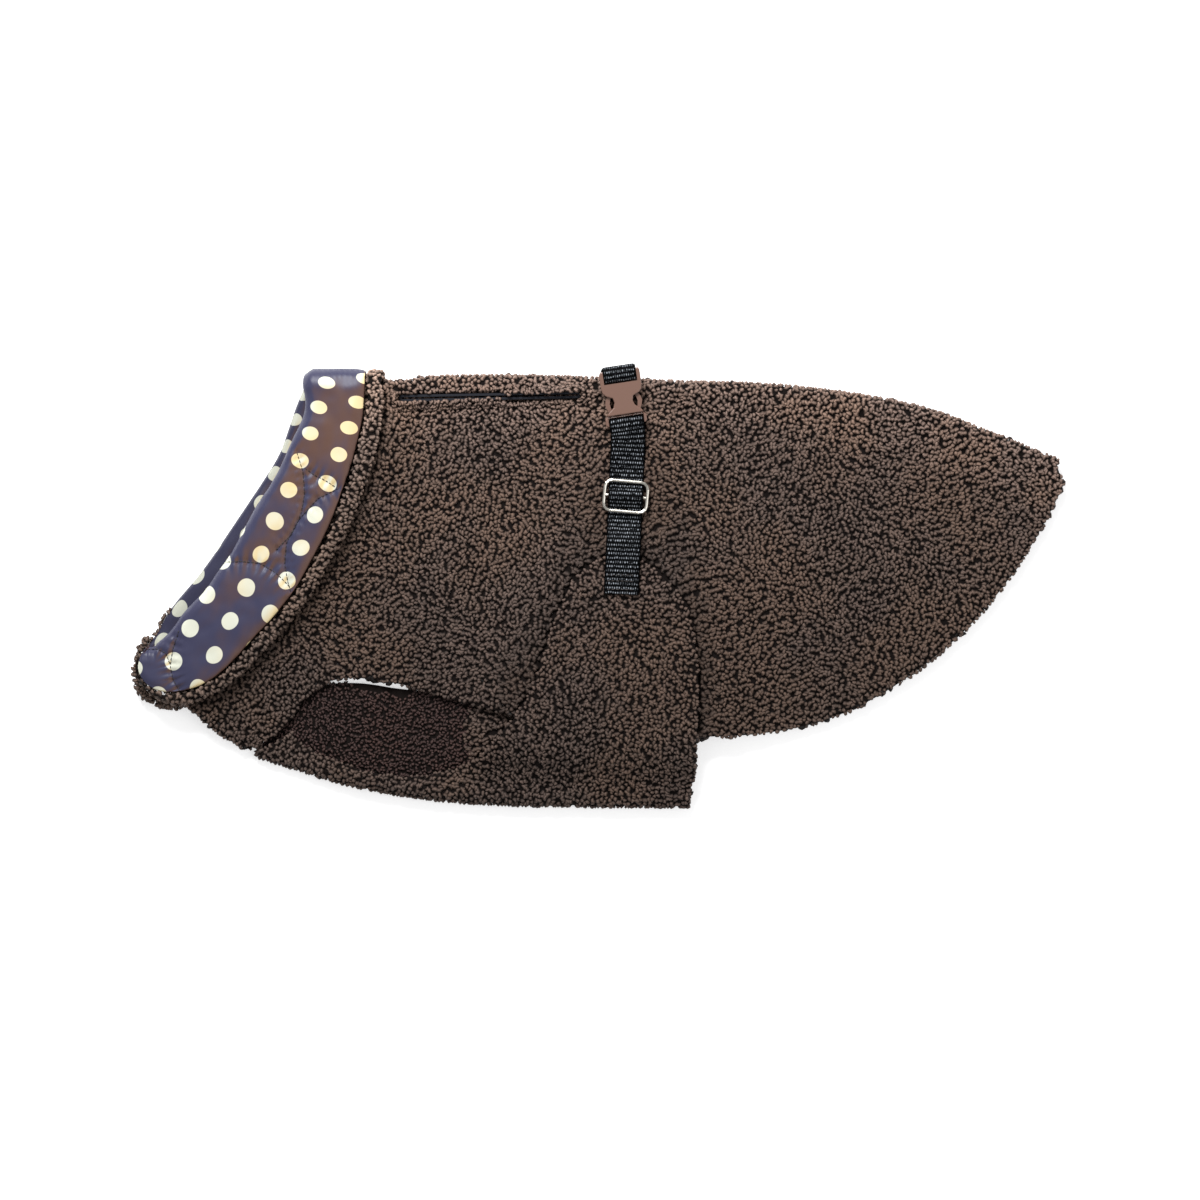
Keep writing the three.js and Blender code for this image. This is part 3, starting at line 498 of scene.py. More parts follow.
def painted_spine_light(s):
    """Painted light: the yarn is painted palest along the spine's fold, where the light falls on it, and
    darker down the side.
    """
    x, y, _ = s.axes()
    past = s.positive(s.minus(x, SPINE_BEND_FROM * MM))
    spine = s.minus(SPINE_LEVEL * MM, s.times(s.times(past, past), SPINE_BEND))
    drop = s.minus(spine, y)
    near = s.minus(1.0, s.between(drop, 0.0, SPINE_NEAR * MM))
    broad = s.minus(1.0, s.between(drop, SPINE_BROAD[0] * MM, SPINE_BROAD[1] * MM))
    added = s.plus(s.times(near, SPINE_GAINS["near"]), s.times(broad, SPINE_GAINS["broad"]))
    return s.plus(added, SPINE_GAINS["base"])


def curl_material(name, dark, light, warm, painted_light_on_spine=True):
    """Curled yarn: painted shade darkens each curl's foot and painted light brightens its top, each curl has
    its own tone, it is paler near turned edges, and painted shade darkens it where another cloth lies against
    it. The tint's values are height on the curl, tone, and edge or painted shade."""
    s = Shader(name)
    s.set(Roughness=0.7, Specular_IOR_Level=0.25)
    height, own_tone, edge = s.tint()
    tone = s.plus(s.times(own_tone, 0.45), 0.55)
    # Painted light and shade: by its height on the curl, the yarn is painted dark at the foot and light on
    # the top
    tone_and_painted_top_light = s.times(s.math("POWER", height, 2.4), tone)
    body = s.mix(tone_and_painted_top_light, dark, light)
    patches = s.between(s.noise(16, 3), 0.4, 0.62)
    body = s.mix(s.times(s.times(patches, tone_and_painted_top_light), 0.55), body, warm)
    body = s.mix(s.times(s.positive(edge), 0.3), body, light)
    # Painted shade where another cloth lies against the curls
    shade = s.times(s.math("MINIMUM", edge, 0.0), 0.62)
    body = s.scaled(body, s.plus(shade, 1.0))
    # Painted light along the spine's fold
    if painted_light_on_spine:
        body = s.scaled(body, painted_spine_light(s))
    s.paint(body)
    s.bump(s.noise(1500, 2), 0.8, 0.0004)
    return s.material


def dot_mask(s, x, y, z):
    """1 on the printed dots. Their lattice follows the cloth over the fold and bends at the collar's ends."""
    over = s.times(s.positive(s.minus(FOLD_TOP * MM, z)), FOLD_SPREAD)
    above = s.positive(s.minus(y, DOT_BEND_FROM * MM))
    bend = s.times(above, above)
    low = s.positive(s.minus(DOT_LOW_FROM * MM, y))
    wobble = s.times(s.minus(s.noise(55, 1), 0.5), 0.0022)
    flat = []
    for k, place in enumerate((x, y)):
        for push, share in ((over, FOLD_OUTWARD[k]), (bend, DOT_BEND[k]), (low, DOT_LOW_SPREAD[k])):
            place = s.plus(place, s.times(push, share))
        flat.append(s.minus(place, DOT_CENTRE[k] * MM))
    u = s.plus(flat[0], wobble)
    v = s.minus(flat[1], wobble)
    (ax, ay), (bx, by) = DOT_STEP_ALONG, DOT_STEP_ACROSS
    area = (ax * by - ay * bx) * MM
    i = s.minus(s.times(u, by / area), s.times(v, bx / area))
    j = s.minus(s.times(v, ax / area), s.times(u, ay / area))
    i = s.minus(i, s.math("ROUND", i))
    j = s.minus(j, s.math("ROUND", j))
    dx = s.plus(s.times(i, ax), s.times(j, bx))
    dy = s.plus(s.times(i, ay), s.times(j, by))
    distance = s.math("SQRT", s.plus(s.times(dx, dx), s.times(dy, dy)))
    return s.minus(1.0, s.between(distance, DOT_RADIUS - DOT_BLUR, DOT_RADIUS + DOT_BLUR))


def blue_reflection_share(s, x, y):
    """Where the satin shows a painted blue reflection of a cool light: by the way it faces, by its place, and
    unevenly.
    """
    facing = s.dot(s.geometry("Normal"), (FOLD_OUTWARD[0], FOLD_OUTWARD[1], 0.15))
    along = s.times(s.plus(x, 0.2), -9.0)
    down = s.times(s.minus(0.03, y), 6.0)
    lean = s.plus(s.times(facing, 2.2), s.times(s.plus(along, down), 0.45))
    lean = s.plus(lean, s.times(s.minus(s.noise(30, 2), 0.5), 1.6))
    return s.between(lean, -0.55, 0.75)


def lining_material():
    """Shot satin, brown with cream dots, with a painted blue reflection of a cool light where it faces one
    way, and painted shade that darkens it deep in the neck.
    """
    s = Shader("dotted_satin")
    s.set(Roughness=0.38, Specular_IOR_Level=0.2)
    x, y, z = s.axes()
    # Painted reflection: a cool blue light reflected by the satin where it faces one way, over the cloth and
    # its dots
    blue = blue_reflection_share(s, x, y)
    cloth = s.mix(blue, SATIN_BROWN, SATIN_BLUE)
    cream = s.mix(blue, DOT_WARM, DOT_COOL)
    printed = s.mix(dot_mask(s, x, y, z), cloth, cream)
    # Painted shade: the satin is darker low down, deep in the neck
    depth = s.plus(s.times(s.between(z, 6 * MM, 17 * MM), 0.42), 0.58)
    s.paint(s.scaled(printed, depth))
    s.bump(s.noise(4200, 1), 0.12, 0.0001)
    return s.material


def webbing_material():
    """Black ribbed webbing: rows of small beads of yarn, with faint painted glints on their tops."""
    s = Shader("black_webbing")
    s.set(Roughness=0.6, Specular_IOR_Level=0.02)
    height = s.tint()[0]
    # Painted glints: the bead tops are painted pale bluish white
    tone = s.times(s.math("POWER", height, 4.0), s.between(s.noise(900, 2), 0.35, 0.7))
    s.paint(s.mix(tone, WEBBING_FOOT, WEBBING_PAINTED_GLINT))
    s.bump(s.noise(2600, 2), 0.5, 0.0002)
    return s.material


def plain_material(name, dark, light, roughness, grain_scale, grain_strength, metallic=0.0):
    """Two near tones in a fine grain, which the surface's small relief follows."""
    s = Shader(name)
    s.set(Roughness=roughness, Metallic=metallic)
    grain = s.noise(grain_scale, 3)
    s.paint(s.mix(grain, dark, light))
    s.bump(grain, grain_strength, 0.0002)
    return s.material


CLOTH = shaded_backing_material("fleece_backing_in_shade", *SHADED_BACKING)
CURLS = curl_material("fleece_curls", *BODY_YARN)
RIM_CURLS = curl_material("rim_curls", *RIM_YARN)
INNER_CURLS = curl_material("inner_curls", *INNER_YARN, painted_light_on_spine=False)
SATIN = lining_material()
WEBBING = webbing_material()
TAPE = plain_material("slit_tape", colour(0.002, 0.003, 0.006), colour(0.006, 0.007, 0.014), 0.9, 1400, 0.5)
THREAD = plain_material("dark_thread", colour(0.008, 0.006, 0.006), colour(0.03, 0.022, 0.02), 0.6, 3000, 0.3)
NICKEL = plain_material("nickel_wire", colour(0.56, 0.53, 0.47), colour(0.66, 0.63, 0.57),
                        0.24, 700, 0.05, 1.0)
PLASTIC = plain_material("brown_plastic", colour(0.150, 0.084, 0.063), colour(0.168, 0.095, 0.072),
                         0.3, 2200, 0.1)


def upper_wall(piece):
    """1 for points of the wall that lies on top, 0 for the wall under it."""
    points, _, _ = mesh_arrays(piece.data)
    tree = tree_of(piece)
    share = np.ones(len(points))
    for index, point in enumerate(points):
        levels = []
        hit = drop_on(tree, point[0], point[1])
        while hit is not None and len(levels) < 3:
            levels.append(hit.z)
            hit = tree.ray_cast(hit + DOWN * 0.01 * MM, DOWN)[0]
        if len(levels) == 3 and point[2] < (levels[1] + levels[2]) / 2:
            share[index] = 0
    return share


def crease_heights(x, y, shift=(0, 0), share=1.0):
    """Height of the soft creases at places given in millimetres."""
    height = np.zeros(len(x))
    for start, end, width, rise in CREASES:
        distance, _ = distance_to_lines(x - shift[0], y - shift[1], [[start, end]])
        height += rise * np.exp(-(distance / width) ** 2)
    return height * share


def crease_walls(piece):
    """Soft creases: both faces of a wall rise or sink together, and the lower wall only rises."""
    points, _, normals = mesh_arrays(piece.data)
    x, y = points[:, 0] / MM, points[:, 1] / MM
    flat = np.clip(np.abs(normals[:, 2]) * 1.3 - 0.3, 0, 1)
    upper = upper_wall(piece)
    lower_rise = np.abs(crease_heights(x, y, LOWER_SHIFT, LOWER_SHARE))
    points[:, 2] += flat * (upper * crease_heights(x, y) + (1 - upper) * lower_rise) * MM
    set_points(piece, points)


def fleece_cloth(node, name):
    """The cloth under the curls: its faces a pile's depth inside the solid."""
    piece = node_copy(node, f"{name}_cloth", CLOTH, FLEECE_LEVELS)
    move_along_normals(piece, -PILE_DEPTH)
    if name in PANELS:
        crease_walls(piece)
    return piece


def random_places(piece, pitch, seed, zone):
    """Many random places on a mesh, or on a zone of it, with the surface's normals."""
    rng = np.random.default_rng(seed)
    points, triangles, normals = mesh_arrays(piece.data)
    area = triangle_areas(points, triangles)
    if zone is not None:
        area = area * zone(points[triangles].sum(axis=1) / 3, normals[triangles].mean(axis=1))
    tries = int(area.sum() / (pitch * MM) ** 2 * TRIES_PER_POINT)
    corners = triangles[rng.choice(len(triangles), size=tries, p=area / area.sum())]
    u = np.sqrt(rng.random(tries))
    v = rng.random(tries)
    weights = np.stack([1 - u, u * (1 - v), u * v], axis=1)[:, :, None]
    places = (points[corners] * weights).sum(axis=1)
    facing = (normals[corners] * weights).sum(axis=1)
    return places, facing / np.maximum(np.linalg.norm(facing, axis=1), 1e-9)[:, None]


def spaced(places, upward, pitch):
    """Indices of the places that keep their distance from those kept before them. Places on the two faces
    of a thin wall don't hold each other off."""
    cells = np.floor(places / (pitch * MM)).astype(np.int64)
    near = (pitch * MM * SPACING_SHARE) ** 2
    around = [(i, j, k) for i in (-1, 0, 1) for j in (-1, 0, 1) for k in (-1, 0, 1)]
    taken = {}
    kept = []
    for index in range(len(places)):
        x, y, z = places[index]
        ci, cj, ck = cells[index]
        face = upward[index]
        neighbours = (p for i, j, k in around for p in taken.get((ci + i, cj + j, ck + k, face), ()))
        if all((px - x) ** 2 + (py - y) ** 2 + (pz - z) ** 2 >= near for px, py, pz in neighbours):
            taken.setdefault((ci, cj, ck, face), []).append((x, y, z))
            kept.append(index)
    return kept


def scattered_points(piece, pitch, seed, zone=None):
    """Places spread over a mesh, or a zone of it, about one pitch apart, with the surface's normals."""
    places, normals = random_places(piece, pitch, seed, zone)
    kept = spaced(places, normals[:, 2] > 0, pitch)
    return places[kept], normals[kept]


def covered(tree, place, origin, direction, line):
    """True close under a surface, and in the dark line beside it."""
    if tree.ray_cast(origin, direction, COVER_REACH * MM)[0] is not None:
        return True
    reach, low_x = line
    if reach == 0 or place[0] <= low_x * MM:
        return False
    return tree.find_nearest(origin + direction * MM, reach * MM)[0] is not None


def sees_open_air(origin, side, trees):
    """True where nothing stands in the way on one of the looks outward, up or down by the side."""
    looks = (Vector((x, y, z * side)).normalized() for x, y, z in OUTWARD_LOOKS)
    return any(all(tree.ray_cast(origin, look, LOOK_REACH * MM)[0] is None for tree in trees)
               for look in looks)


def exposed(places, normals, trees, lines):
    """True where no cloth lies close above and the open air can be seen, so that a closed gap between two
    walls is left bare."""
    shown = np.ones(len(places), bool)
    for index, (place, normal) in enumerate(zip(places, normals)):
        origin = Vector(place + normal * COVER_START * MM)
        direction = Vector(normal)
        shown[index] = not any(covered(tree, place, origin, direction, lines.get(name, NO_LINE))
                               for name, tree in trees.items())
        if shown[index] and (normal[2] < 0.2 or place[2] < INNER_TOP * MM):
            shown[index] = sees_open_air(origin, 1 if normal[2] > 0 else -1, trees.values())
    return shown


def in_slot(places):
    """True on the narrow slot between the two leg-hole edges."""
    distance, _ = distance_to_lines(places[:, 0] / MM, places[:, 1] / MM, [LEG_SLOT])
    return distance < LEG_SLOT_REACH


def inside_face(places, normals):
    """True on the upper face of the lower wall, the coat's inside."""
    return (normals[:, 2] > INNER_FACING) & (places[:, 2] < INNER_TOP * MM)


def edge_nearness(piece, places):
    """1 at a cloth's turned edge, falling to 0 a little way in."""
    points, _, normals = mesh_arrays(piece.data)
    turned = points[np.abs(normals[:, 2]) < EDGE_FACING]
    tree = KDTree(len(turned))
    for index, point in enumerate(turned):
        tree.insert(point, index)
    tree.balance()
    distance = np.array([tree.find(place)[2] for place in places])
    return np.clip(1 - distance / (EDGE_REACH * MM), 0, 1)


def contact_shade(places, piece, reach):
    """1 where a piece lies against a place, falling to 0 at a reach in millimetres."""
    tree = tree_of(piece)
    shade = np.zeros(len(places))
    for index, place in enumerate(places):
        distance = tree.find_nearest(Vector(place), reach * MM)[3]
        if distance is not None:
            shade[index] = 1 - distance / (reach * MM)
    return shade


def curl_faces(count):
    """Triangles of many curls, each with its rings of points and two tips."""
    rings = len(CURL_RINGS)
    faces = []
    for ring in range(rings - 1):
        for side in range(CURL_SIDES):
            a = ring * CURL_SIDES + side
            b = ring * CURL_SIDES + (side + 1) % CURL_SIDES
            faces += [(a, a + CURL_SIDES, b), (b, a + CURL_SIDES, b + CURL_SIDES)]
    first_tip = rings * CURL_SIDES
    last_ring = (rings - 1) * CURL_SIDES
    for side in range(CURL_SIDES):
        following = (side + 1) % CURL_SIDES
        faces += [(first_tip, side, following), (first_tip + 1, last_ring + following, last_ring + side)]
    starts = np.arange(count) * (first_tip + 2)
    return (np.array(faces, np.int64)[None] + starts[:, None, None]).reshape(-1, 3)


def lay_of_pile(places, rng):
    """Directions in which the curls lie: they follow each other in patches, loosely."""
    turn = 0.8 + 1.3 * np.sin(places[:, 0] * 31 + 1.7 * np.sin(places[:, 1] * 23))
    turn = turn + rng.normal(scale=0.75, size=len(places))
    return np.stack([np.cos(turn), np.sin(turn), rng.normal(scale=0.4, size=len(places))], axis=1)


def curl_points(places, normals, along, long, thick, bend, tilt, rise):
    """Points of every curl, ring by ring and then its two tips, and how high on the curl each lies."""
    across = np.cross(normals, along)

    def middle(u):
        arch = 1 - (2 * u) ** 2
        offset = along * (u * long)[:, None] + across * (bend * arch)[:, None]
        return places + offset + normals * (rise * (0.55 + 0.45 * arch) + tilt * u)[:, None]

    rows = []
    heights = []
    for u, share in CURL_RINGS:
        centre = middle(u)
        for side in range(CURL_SIDES):
            angle = 2 * math.pi * side / CURL_SIDES + math.pi / 2
            out = across * math.cos(angle) + normals * math.sin(angle)
            rows.append(centre + out * (thick * share)[:, None])
            heights.append(np.full(len(places), 0.5 + 0.5 * math.sin(angle)))
    for u in (-0.5, 0.5):
        rows.append(middle(u))
        heights.append(np.full(len(places), 0.3))
    vertices = np.stack(rows, axis=1)
    vertices[:, :, 2] = np.maximum(vertices[:, :, 2], LOWEST_CURL)
    return vertices, np.stack(heights, axis=1)


def curls(name, places, normals, material, kind, edge=None):
    """Short bent curls of yarn standing on a surface, as joined meshes within the triangle limit."""
    length_share, radius_share, lift, seed = kind
    rng = np.random.default_rng(seed)
    count = len(places)
    edge = np.zeros(count) if edge is None else edge
    along = np.cross(normals, lay_of_pile(places, rng))
    along /= np.linalg.norm(along, axis=1)[:, None]
    long = CURL_LENGTH * length_share * rng.uniform(0.7, 1.3, count) * (1 - 0.25 * edge) * MM
    thick = CURL_RADIUS * radius_share * rng.uniform(0.82, 1.2, count) * (1 - 0.2 * edge) * MM
    bend = rng.uniform(-0.45, 0.45, count) * long
    tilt = rng.uniform(-0.35, 0.35, count) * long
    rise = lift * rng.uniform(0.75, 1.3, count) * MM
    tone = rng.random(count)
    vertices, height = curl_points(places, normals, along, long, thick, bend, tilt, rise)
    limit = PIECE_TRIANGLES // len(curl_faces(1))
    order = np.argsort(places[:, 0], kind="stable")
    pieces = []
    for part, start in enumerate(range(0, count, limit)):
        chosen = order[start:start + limit]
        label = name if count <= limit else f"{name}_{part + 1}"
        piece = new_object(label, vertices[chosen].reshape(-1, 3), curl_faces(len(chosen)), material)
        size = vertices.shape[1]
        give_tint(piece, np.stack([height[chosen].ravel(), np.repeat(tone[chosen], size),
                                   np.repeat(edge[chosen], size)], axis=1))
        pieces.append(piece)
    return pieces


def outer_pile(cloths, trees):
    """Places, normals and edge values of the curls of each cloth; below 0 the edge value is a painted shade.
    """
    found = {}
    for own, (name, cloth) in enumerate(cloths.items()):
        places, normals = scattered_points(cloth, CURL_PITCH, OUTER_SEED + own)
        shown = exposed(places, normals, trees, BARE_LINES.get(name, {})) & ~in_slot(places)
        found[name] = (places[shown], normals[shown], edge_nearness(cloth, places[shown]))
    places, normals, edge = found["back"]
    for over, reach, low_x in CONTACT_SHADES:
        shade = contact_shade(places, cloths[over], reach) * (places[:, 0] > low_x * MM)
        edge = np.where(shade > 0, -np.maximum(shade, -edge), edge)
    found["back"] = (places, normals, edge)
    return found


def inner_pile(cloths, trees):
    """Places and normals of the finer curls on the inner face of the two panels."""
    found = {}
    for own, name in enumerate(PANELS):
        places, normals = scattered_points(cloths[name], INNER_PITCH, INNER_SEED + own, inside_face)
        shown = exposed(places, normals, trees, {}) & ~in_slot(places)
        found[name] = (places[shown], normals[shown])
    return found


def grow_pile(name, outer, inner):
    """The curls of one cloth: outside, on its inner face, and sparser ones underneath."""
    places, normals, edge = outer
    yarn = RIM_CURLS if name == "rim" else CURLS
    below = normals[:, 2] < UNDER_FACING
    plain = ~below
    if name in PANELS:
        plain &= ~inside_face(places, normals)
    else:
        edge = np.zeros(len(places))
    grown = curls(f"{name}_curls", places[plain], normals[plain], yarn, OUTER_CURL, edge[plain])
    if name in PANELS:
        grown += curls(f"{name}_inner_curls", *inner[name], INNER_CURLS, INNER_CURL)
    if below.any():
        keep = np.random.default_rng(UNDER_SEED).random(below.sum()) < (CURL_PITCH / UNDER_PITCH) ** 2
        grown += curls(f"{name}_under_curls", places[below][keep], normals[below][keep], yarn, UNDER_CURL)
    for piece in grown:
        finish_piece(piece, "fleece")
    return grown


def fleece_parts():
    """Cloth and curls of the body, the belly piece and the collar's fleece. Gives the body's surface."""
    cloths = {name: fleece_cloth(node, name) for node, name, *_ in FLEECE}
    trees = {name: tree_of(cloth) for name, cloth in cloths.items()}
    trees["lining"] = tree_of(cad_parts["collar_lining"])
    outer = outer_pile(cloths, trees)
    inner = inner_pile(cloths, trees)
    for node, name, *_ in FLEECE:
        finish_piece(cloths[name], "fleece", node)
    grown = {name: grow_pile(name, outer[name], inner) for name in cloths}
    for _, name, shape, held, rest in FLEECE:
        flat = flat_size(cloths[name], shape)
    return trees["back"]


def curl_rows(name, rows, tree, spacing, material, clear=0):
    """Rows of curls between two places. Each row's level is read from the cloth at least as far aside as it
    takes to be clear of the slit."""
    rng = np.random.default_rng(ROW_SEED)
    places = []
    for start, end, offset, lift in rows:
        start, end = np.array(start, float), np.array(end, float)
        beyond = math.copysign(max(clear - abs(offset), 0), offset)
        length = np.linalg.norm(end - start)
        count = int(length / spacing)
        aside = np.array([start[1] - end[1], end[0] - start[0]]) / length
        for k in range(count):
            share = (k + rng.uniform(-0.4, 0.4)) / count
            x, y = start + (end - start) * share + aside * (offset + rng.uniform(-0.35, 0.35))
            hit = drop_on(tree, (x + aside[0] * beyond) * MM, (y + aside[1] * beyond) * MM)
            level = GAP_LEVEL * MM if hit is None else hit.z
            places.append((x * MM, y * MM, level + lift * MM))
    normals = np.tile([0.0, 0.0, 1.0], (len(places), 1))
    for piece in curls(name, np.array(places), normals, material, ROW_CURL):
        finish_piece(piece, "fleece")


def lining():
    """The quilted satin: sunk along its stitch lines, puckered beside them, and a little crumpled."""
    piece = node_copy("collar_lining", "collar_lining_satin", SATIN, LINING_LEVELS)
    points, _, normals = mesh_arrays(piece.data)
    distance, along = distance_to_lines(points[:, 0] / MM, points[:, 1] / MM, STITCH_LINES)
    sunk = -SINK_DEPTH * np.exp(-(distance / SINK_REACH) ** 2)
    wave = np.sin(along * 2 * math.pi / PUCKER_PITCH)
    pucker = PUCKER_HEIGHT * np.exp(-(distance / PUCKER_REACH) ** 2) * wave
    broad, fine = CRUMPLE_SCALES
    crumple = np.array([noise.noise(Vector(p) * broad) + 0.5 * noise.noise(Vector(p) * fine) for p in points])
    outward = (normals[:, 2] > 0.2) & (points[:, 2] > UPPER_SATIN * MM)
    move_along_normals(piece, np.where(outward, sunk + pucker + CRUMPLE_HEIGHT * crumple, 0))
    return finish_piece(piece, "lining", "collar_lining")


def capsule(start, end, radius):
    """Points and faces of a short straight stitch with rounded ends."""
    axis = (end - start).normalized()
    side = axis.orthogonal().normalized()
    other = axis.cross(side)
    rows = []
    for share, width in STITCH_RINGS:
        centre = start.lerp(end, share)
        for k in range(STITCH_SIDES):
            angle = 2 * math.pi * k / STITCH_SIDES
            rows.append(centre + (side * math.cos(angle) + other * math.sin(angle)) * radius * width)
    faces = []
    for ring in range(len(STITCH_RINGS) - 1):
        for k in range(STITCH_SIDES):
            a = ring * STITCH_SIDES + k
            b = ring * STITCH_SIDES + (k + 1) % STITCH_SIDES
            faces.append((a, b, b + STITCH_SIDES, a + STITCH_SIDES))
    return rows, faces


def stitch_ends(line, pitch, length):
    """Start and end of each stitch along a line, seen from above."""
    dense = []
    for (x1, y1), (x2, y2) in zip(line, line[1:]):
        steps = max(2, int(math.hypot(x2 - x1, y2 - y1) / STITCH_STEP))
        dense += [(x1 + (x2 - x1) * k / steps, y1 + (y2 - y1) * k / steps) for k in range(steps)]
    ends = []
    travelled = 0.0
    mark = 0.0
    start = None
    for previous, point in zip(dense, dense[1:]):
        travelled += math.hypot(point[0] - previous[0], point[1] - previous[1])
        if start is None and travelled >= mark:
            start = point
        elif start is not None and travelled >= mark + length:
            ends.append((start, point))
            mark += pitch
            start = None
    return ends


def stitches_on(name, lines, tree, slot, pitch, length, radius):
    """Rows of stitches laid on a surface, found by looking straight down on it."""
    vertices = []
    faces = []
    for line in lines:
        for pair in stitch_ends(line, pitch, length):
            hits = [drop_on(tree, x * MM, y * MM) for x, y in pair]
            if None in hits:
                continue
            start, end = (hit + Vector((0, 0, (radius - STITCH_SINK) * MM)) for hit in hits)
            rows, quads = capsule(start, end, radius * MM)
            base = len(vertices)
            vertices += [tuple(v) for v in rows]
            faces += [tuple(base + i for i in quad) for quad in quads]
    return finish_piece(new_object(name, vertices, faces, THREAD), slot)


def strap_sections(node):
    """Centre, cross direction and width of each section of a strap, read from its solid in order."""
    points, triangles, _ = mesh_arrays(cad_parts[node].data)
    keys, index = np.unique(np.round(points, 6), axis=0, return_inverse=True)
    index = index.ravel()
    beside = {}
    for a, b, c in index[triangles]:
        for one, other in ((a, b), (b, c), (c, a)):
            beside.setdefault(one, set()).add(other)
            beside.setdefault(other, set()).add(one)
    section = set(np.argsort(keys[:, 1])[:SECTION_POINTS].tolist())
    seen = set(section)
    sections = []
    while section:
        sections.append(keys[sorted(section)])
        section = {n for one in section for n in beside[one]} - seen
        seen |= section
    centres = np.array([s.mean(axis=0) for s in sections])
    across = []
    widths = []
    for part, centre in zip(sections, centres):
        direction = np.linalg.svd(part - centre)[2][0]
        direction = direction * np.sign(direction[0])
        reach = (part - centre) @ direction
        across.append(direction)
        widths.append(reach.max() - reach.min())
    return centres, np.array(across), np.array(widths)


def smooth_rows(rows, places):
    """Catmull-Rom reading of rows at places given in rows."""
    last = len(rows) - 1
    first = np.clip(np.floor(places).astype(int), 0, last - 1)
    t = (places - first).reshape(-1, *([1] * (rows.ndim - 1)))
    a, b, c, d = (rows[np.clip(first + k, 0, last)] for k in (-1, 0, 1, 2))
    square = (2 * a - 5 * b + 4 * c - d) * t ** 2
    cube = (3 * b - a - 3 * c + d) * t ** 3
    return 0.5 * (2 * b + (c - a) * t + square + cube)


def strap_path(node):
    """Finely spaced places along a strap: distance, middle, cross direction, upward direction and width."""
    centres, across, widths = strap_sections(node)
    steps = np.linalg.norm(np.diff(centres, axis=0), axis=1)
    travelled = np.concatenate([[0], np.cumsum(steps)]) / MM
    count = int(travelled[-1] / (RIB_PITCH / RIB_STEPS))
    distance = np.linspace(0, travelled[-1], count)
    places = np.interp(distance, travelled, np.arange(len(travelled)))
    middle = smooth_rows(centres, places)
    side = smooth_rows(across, places)
    side /= np.linalg.norm(side, axis=1)[:, None]
    up = np.cross(side, np.gradient(middle, axis=0))
    up /= np.linalg.norm(up, axis=1)[:, None]
    width = np.interp(places, np.arange(len(widths)), widths) / MM
    width = width * np.where(middle[:, 1] > LOOP_FROM * MM, LOOP_WIDER, 1)
    return distance, middle, side, up, width


def webbing(node, name):
    """Ribbed webbing on its solid's route: ribs across it, each a row of small beads of yarn."""
    distance, middle, side, up, width = strap_path(node)
    share = np.linspace(-1, 1, BEADS * BEAD_COLUMNS + 1)
    rib_number = np.floor(distance / RIB_PITCH)
    rib = np.abs(np.sin(math.pi * distance / RIB_PITCH))[:, None]
    bead = np.abs(np.sin(math.pi * (share[None] * BEADS / 2 + 0.5 * (rib_number[:, None] % 2))))
    inside = np.clip((1 - np.abs(share)) * SELVEDGE, 0, 1)[None]
    relief = RIB_HEIGHT * rib * (1 - BEAD_SHARE + BEAD_SHARE * bead) * inside
    rounding = np.sqrt(np.clip(1 - np.abs(share) ** 14, 0.12, 1))[None]
    half = (WEBBING_WALL / 2 - RIB_HEIGHT) * rounding
    lie = middle[:, None] + side[:, None] * (share[None, :, None] * width[:, None, None] / 2 * MM)
    rise = up[:, None] * ((half + relief) * MM)[:, :, None]
    loops = np.concatenate([lie + rise, (lie - rise)[:, ::-1]], axis=1)
    height = rib * bead * inside
    tone = np.concatenate([height, height[:, ::-1]], axis=1)
    piece = loft(name, loops, WEBBING)
    give_tint(piece, np.repeat(tone.reshape(-1, 1), 3, axis=1))
    return finish_piece(piece, "webbing", node)


def loft(name, sections, material):
    """A closed tube of quads through sections that all have the same number of points, with flat ends."""
    count = len(sections[0])
    vertices = [tuple(p) for section in sections for p in section]
    faces = []
    for i in range(len(sections) - 1):
        for k in range(count):
            a = i * count + k
            b = i * count + (k + 1) % count
            faces.append((a, b, b + count, a + count))
    piece = new_object(name, vertices, faces, material)
    work = bmesh.new()
    work.from_mesh(piece.data)
    bmesh.ops.holes_fill(work, edges=[e for e in work.edges if e.is_boundary], sides=0)
    bmesh.ops.recalc_face_normals(work, faces=work.faces)
    work.to_mesh(piece.data)
    work.free()
    return piece


def make_floor():
    """A white floor that glows a little, so that it stays white under soft light."""
    white = plain_material("white_floor", colour(0.93, 0.93, 0.94), colour(0.95, 0.95, 0.95), 0.9, 30, 0.0)
    surface = white.node_tree.nodes["Principled BSDF"].inputs
    surface["Emission Color"].default_value = (1.0, 1.0, 1.0, 1.0)
    surface["Emission Strength"].default_value = FLOOR_GLOW
    corners = [(x * FLOOR_REACH, y * FLOOR_REACH, 0) for x, y in ((-1, -1), (1, -1), (1, 1), (-1, 1))]
    floor = new_object("floor", corners, [(0, 1, 2, 3)], white, smooth=False)
    floor.location.z = FLOOR_LEVEL


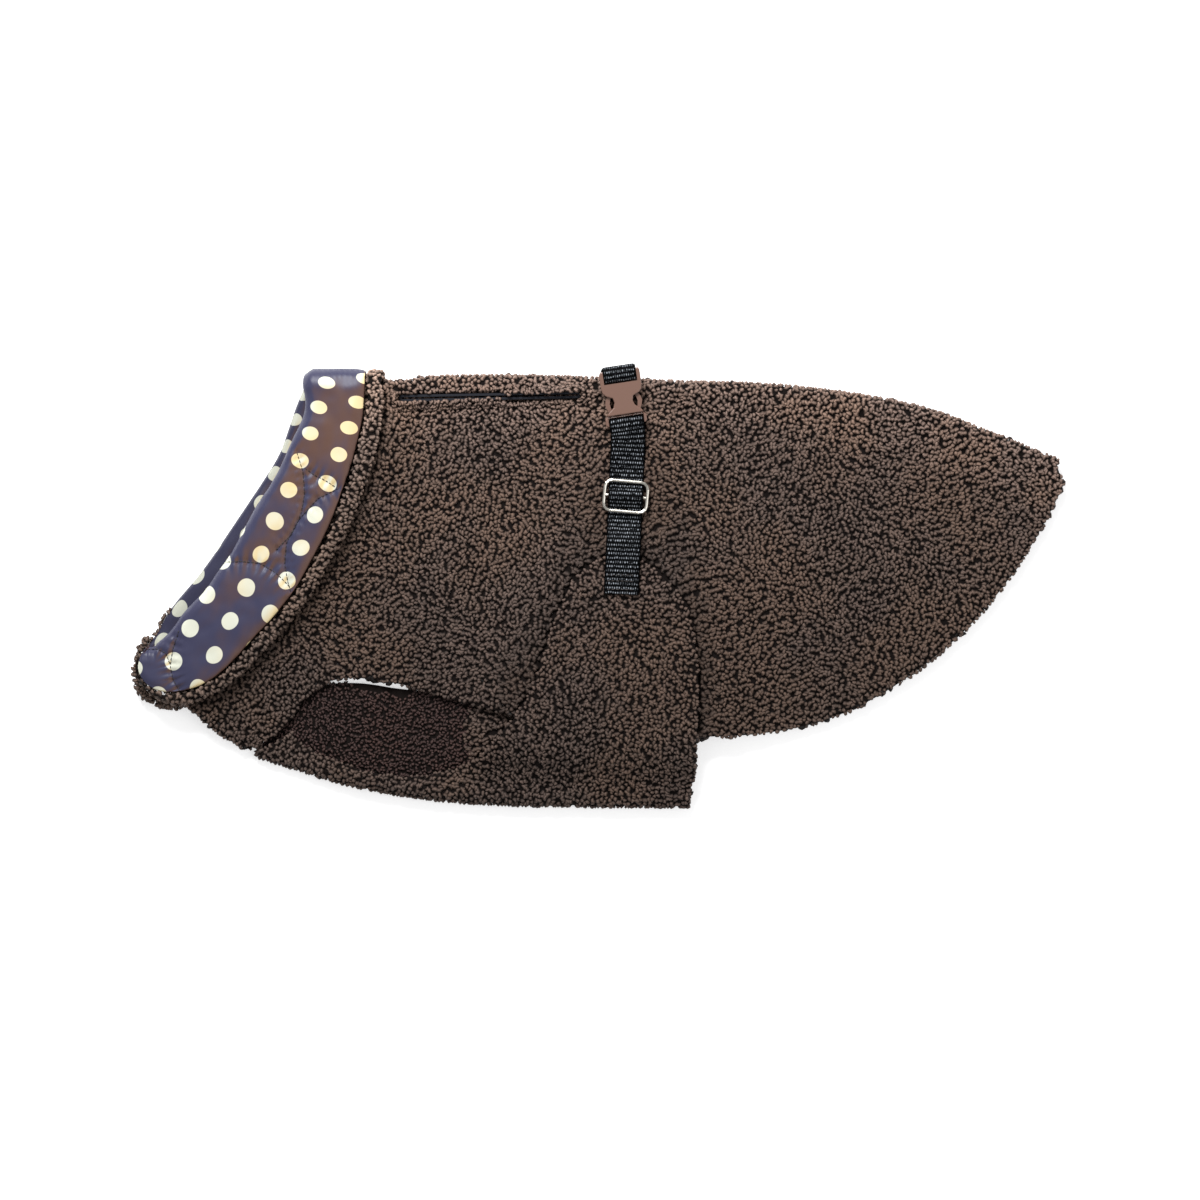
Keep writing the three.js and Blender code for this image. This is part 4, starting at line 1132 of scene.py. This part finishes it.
def make_lights():
    """An even white studio and two soft lamps that look at the coat."""
    world = bpy.data.worlds.new("studio")
    bpy.context.scene.world = world
    world.use_nodes = True
    background = world.node_tree.nodes["Background"]
    background.inputs["Color"].default_value = (1.0, 1.0, 1.0, 1.0)
    background.inputs["Strength"].default_value = WORLD_STRENGTH
    bpy.context.scene.view_settings.view_transform = "Standard"
    for label, place, watts, size in LIGHTS:
        light = bpy.data.lights.new(label, "AREA")
        light.energy = watts
        light.size = size
        lamp = bpy.data.objects.new(label, light)
        lamp.location = place
        lamp.rotation_euler = (-lamp.location).to_track_quat("-Z", "Y").to_euler()
        bpy.context.scene.collection.objects.link(lamp)


def make_camera():
    """A camera straight above, which sees what the photograph shows."""
    camera = bpy.data.cameras.new("camera")
    camera.sensor_width = SENSOR
    camera.lens = SENSOR * VIEW_HEIGHT / (PIXEL * FRAME_PIXELS)
    camera.clip_end = 20
    view = bpy.data.objects.new("camera", camera)
    view.location = (FRAME_CENTRE[0] * MM, FRAME_CENTRE[1] * MM, (VIEW_HEIGHT + COAT_TOP) * MM)
    bpy.context.scene.collection.objects.link(view)
    bpy.context.scene.camera = view


make_floor()
make_lights()
make_camera()

body_tree = fleece_parts()
satin = lining()
quilting = stitches_on("quilt_stitches", STITCH_LINES, tree_of(satin), "lining", **QUILT_STITCH)
flat_size(satin, LINING_CUT)

curl_rows("slit_edge_curls", SLIT_ROWS, body_tree, 1.5, CURLS, SLIT_CLEAR)
curl_rows("neck_seam_curls", NECK_ROWS, body_tree, 1.7, CURLS)
curl_rows("collar_end_curls", END_ROWS, body_tree, 1.6, RIM_CURLS)
curl_rows("loose_end_curls", LOOSE_ROWS, body_tree, 1.9, RIM_CURLS)

near_webbing = webbing("strap_near", "near_webbing")
webbing("strap_far", "far_webbing")
stitches_on("strap_end_stitches", STRAP_STITCHES, tree_of(near_webbing), "webbing", **STRAP_STITCH)

HARD_PIECES = {"slit_binding": TAPE, "slider": NICKEL, "buckle_socket": PLASTIC, "buckle_plug": PLASTIC}
for node, material in HARD_PIECES.items():
    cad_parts[node].data.materials.clear()
    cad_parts[node].data.materials.append(material)
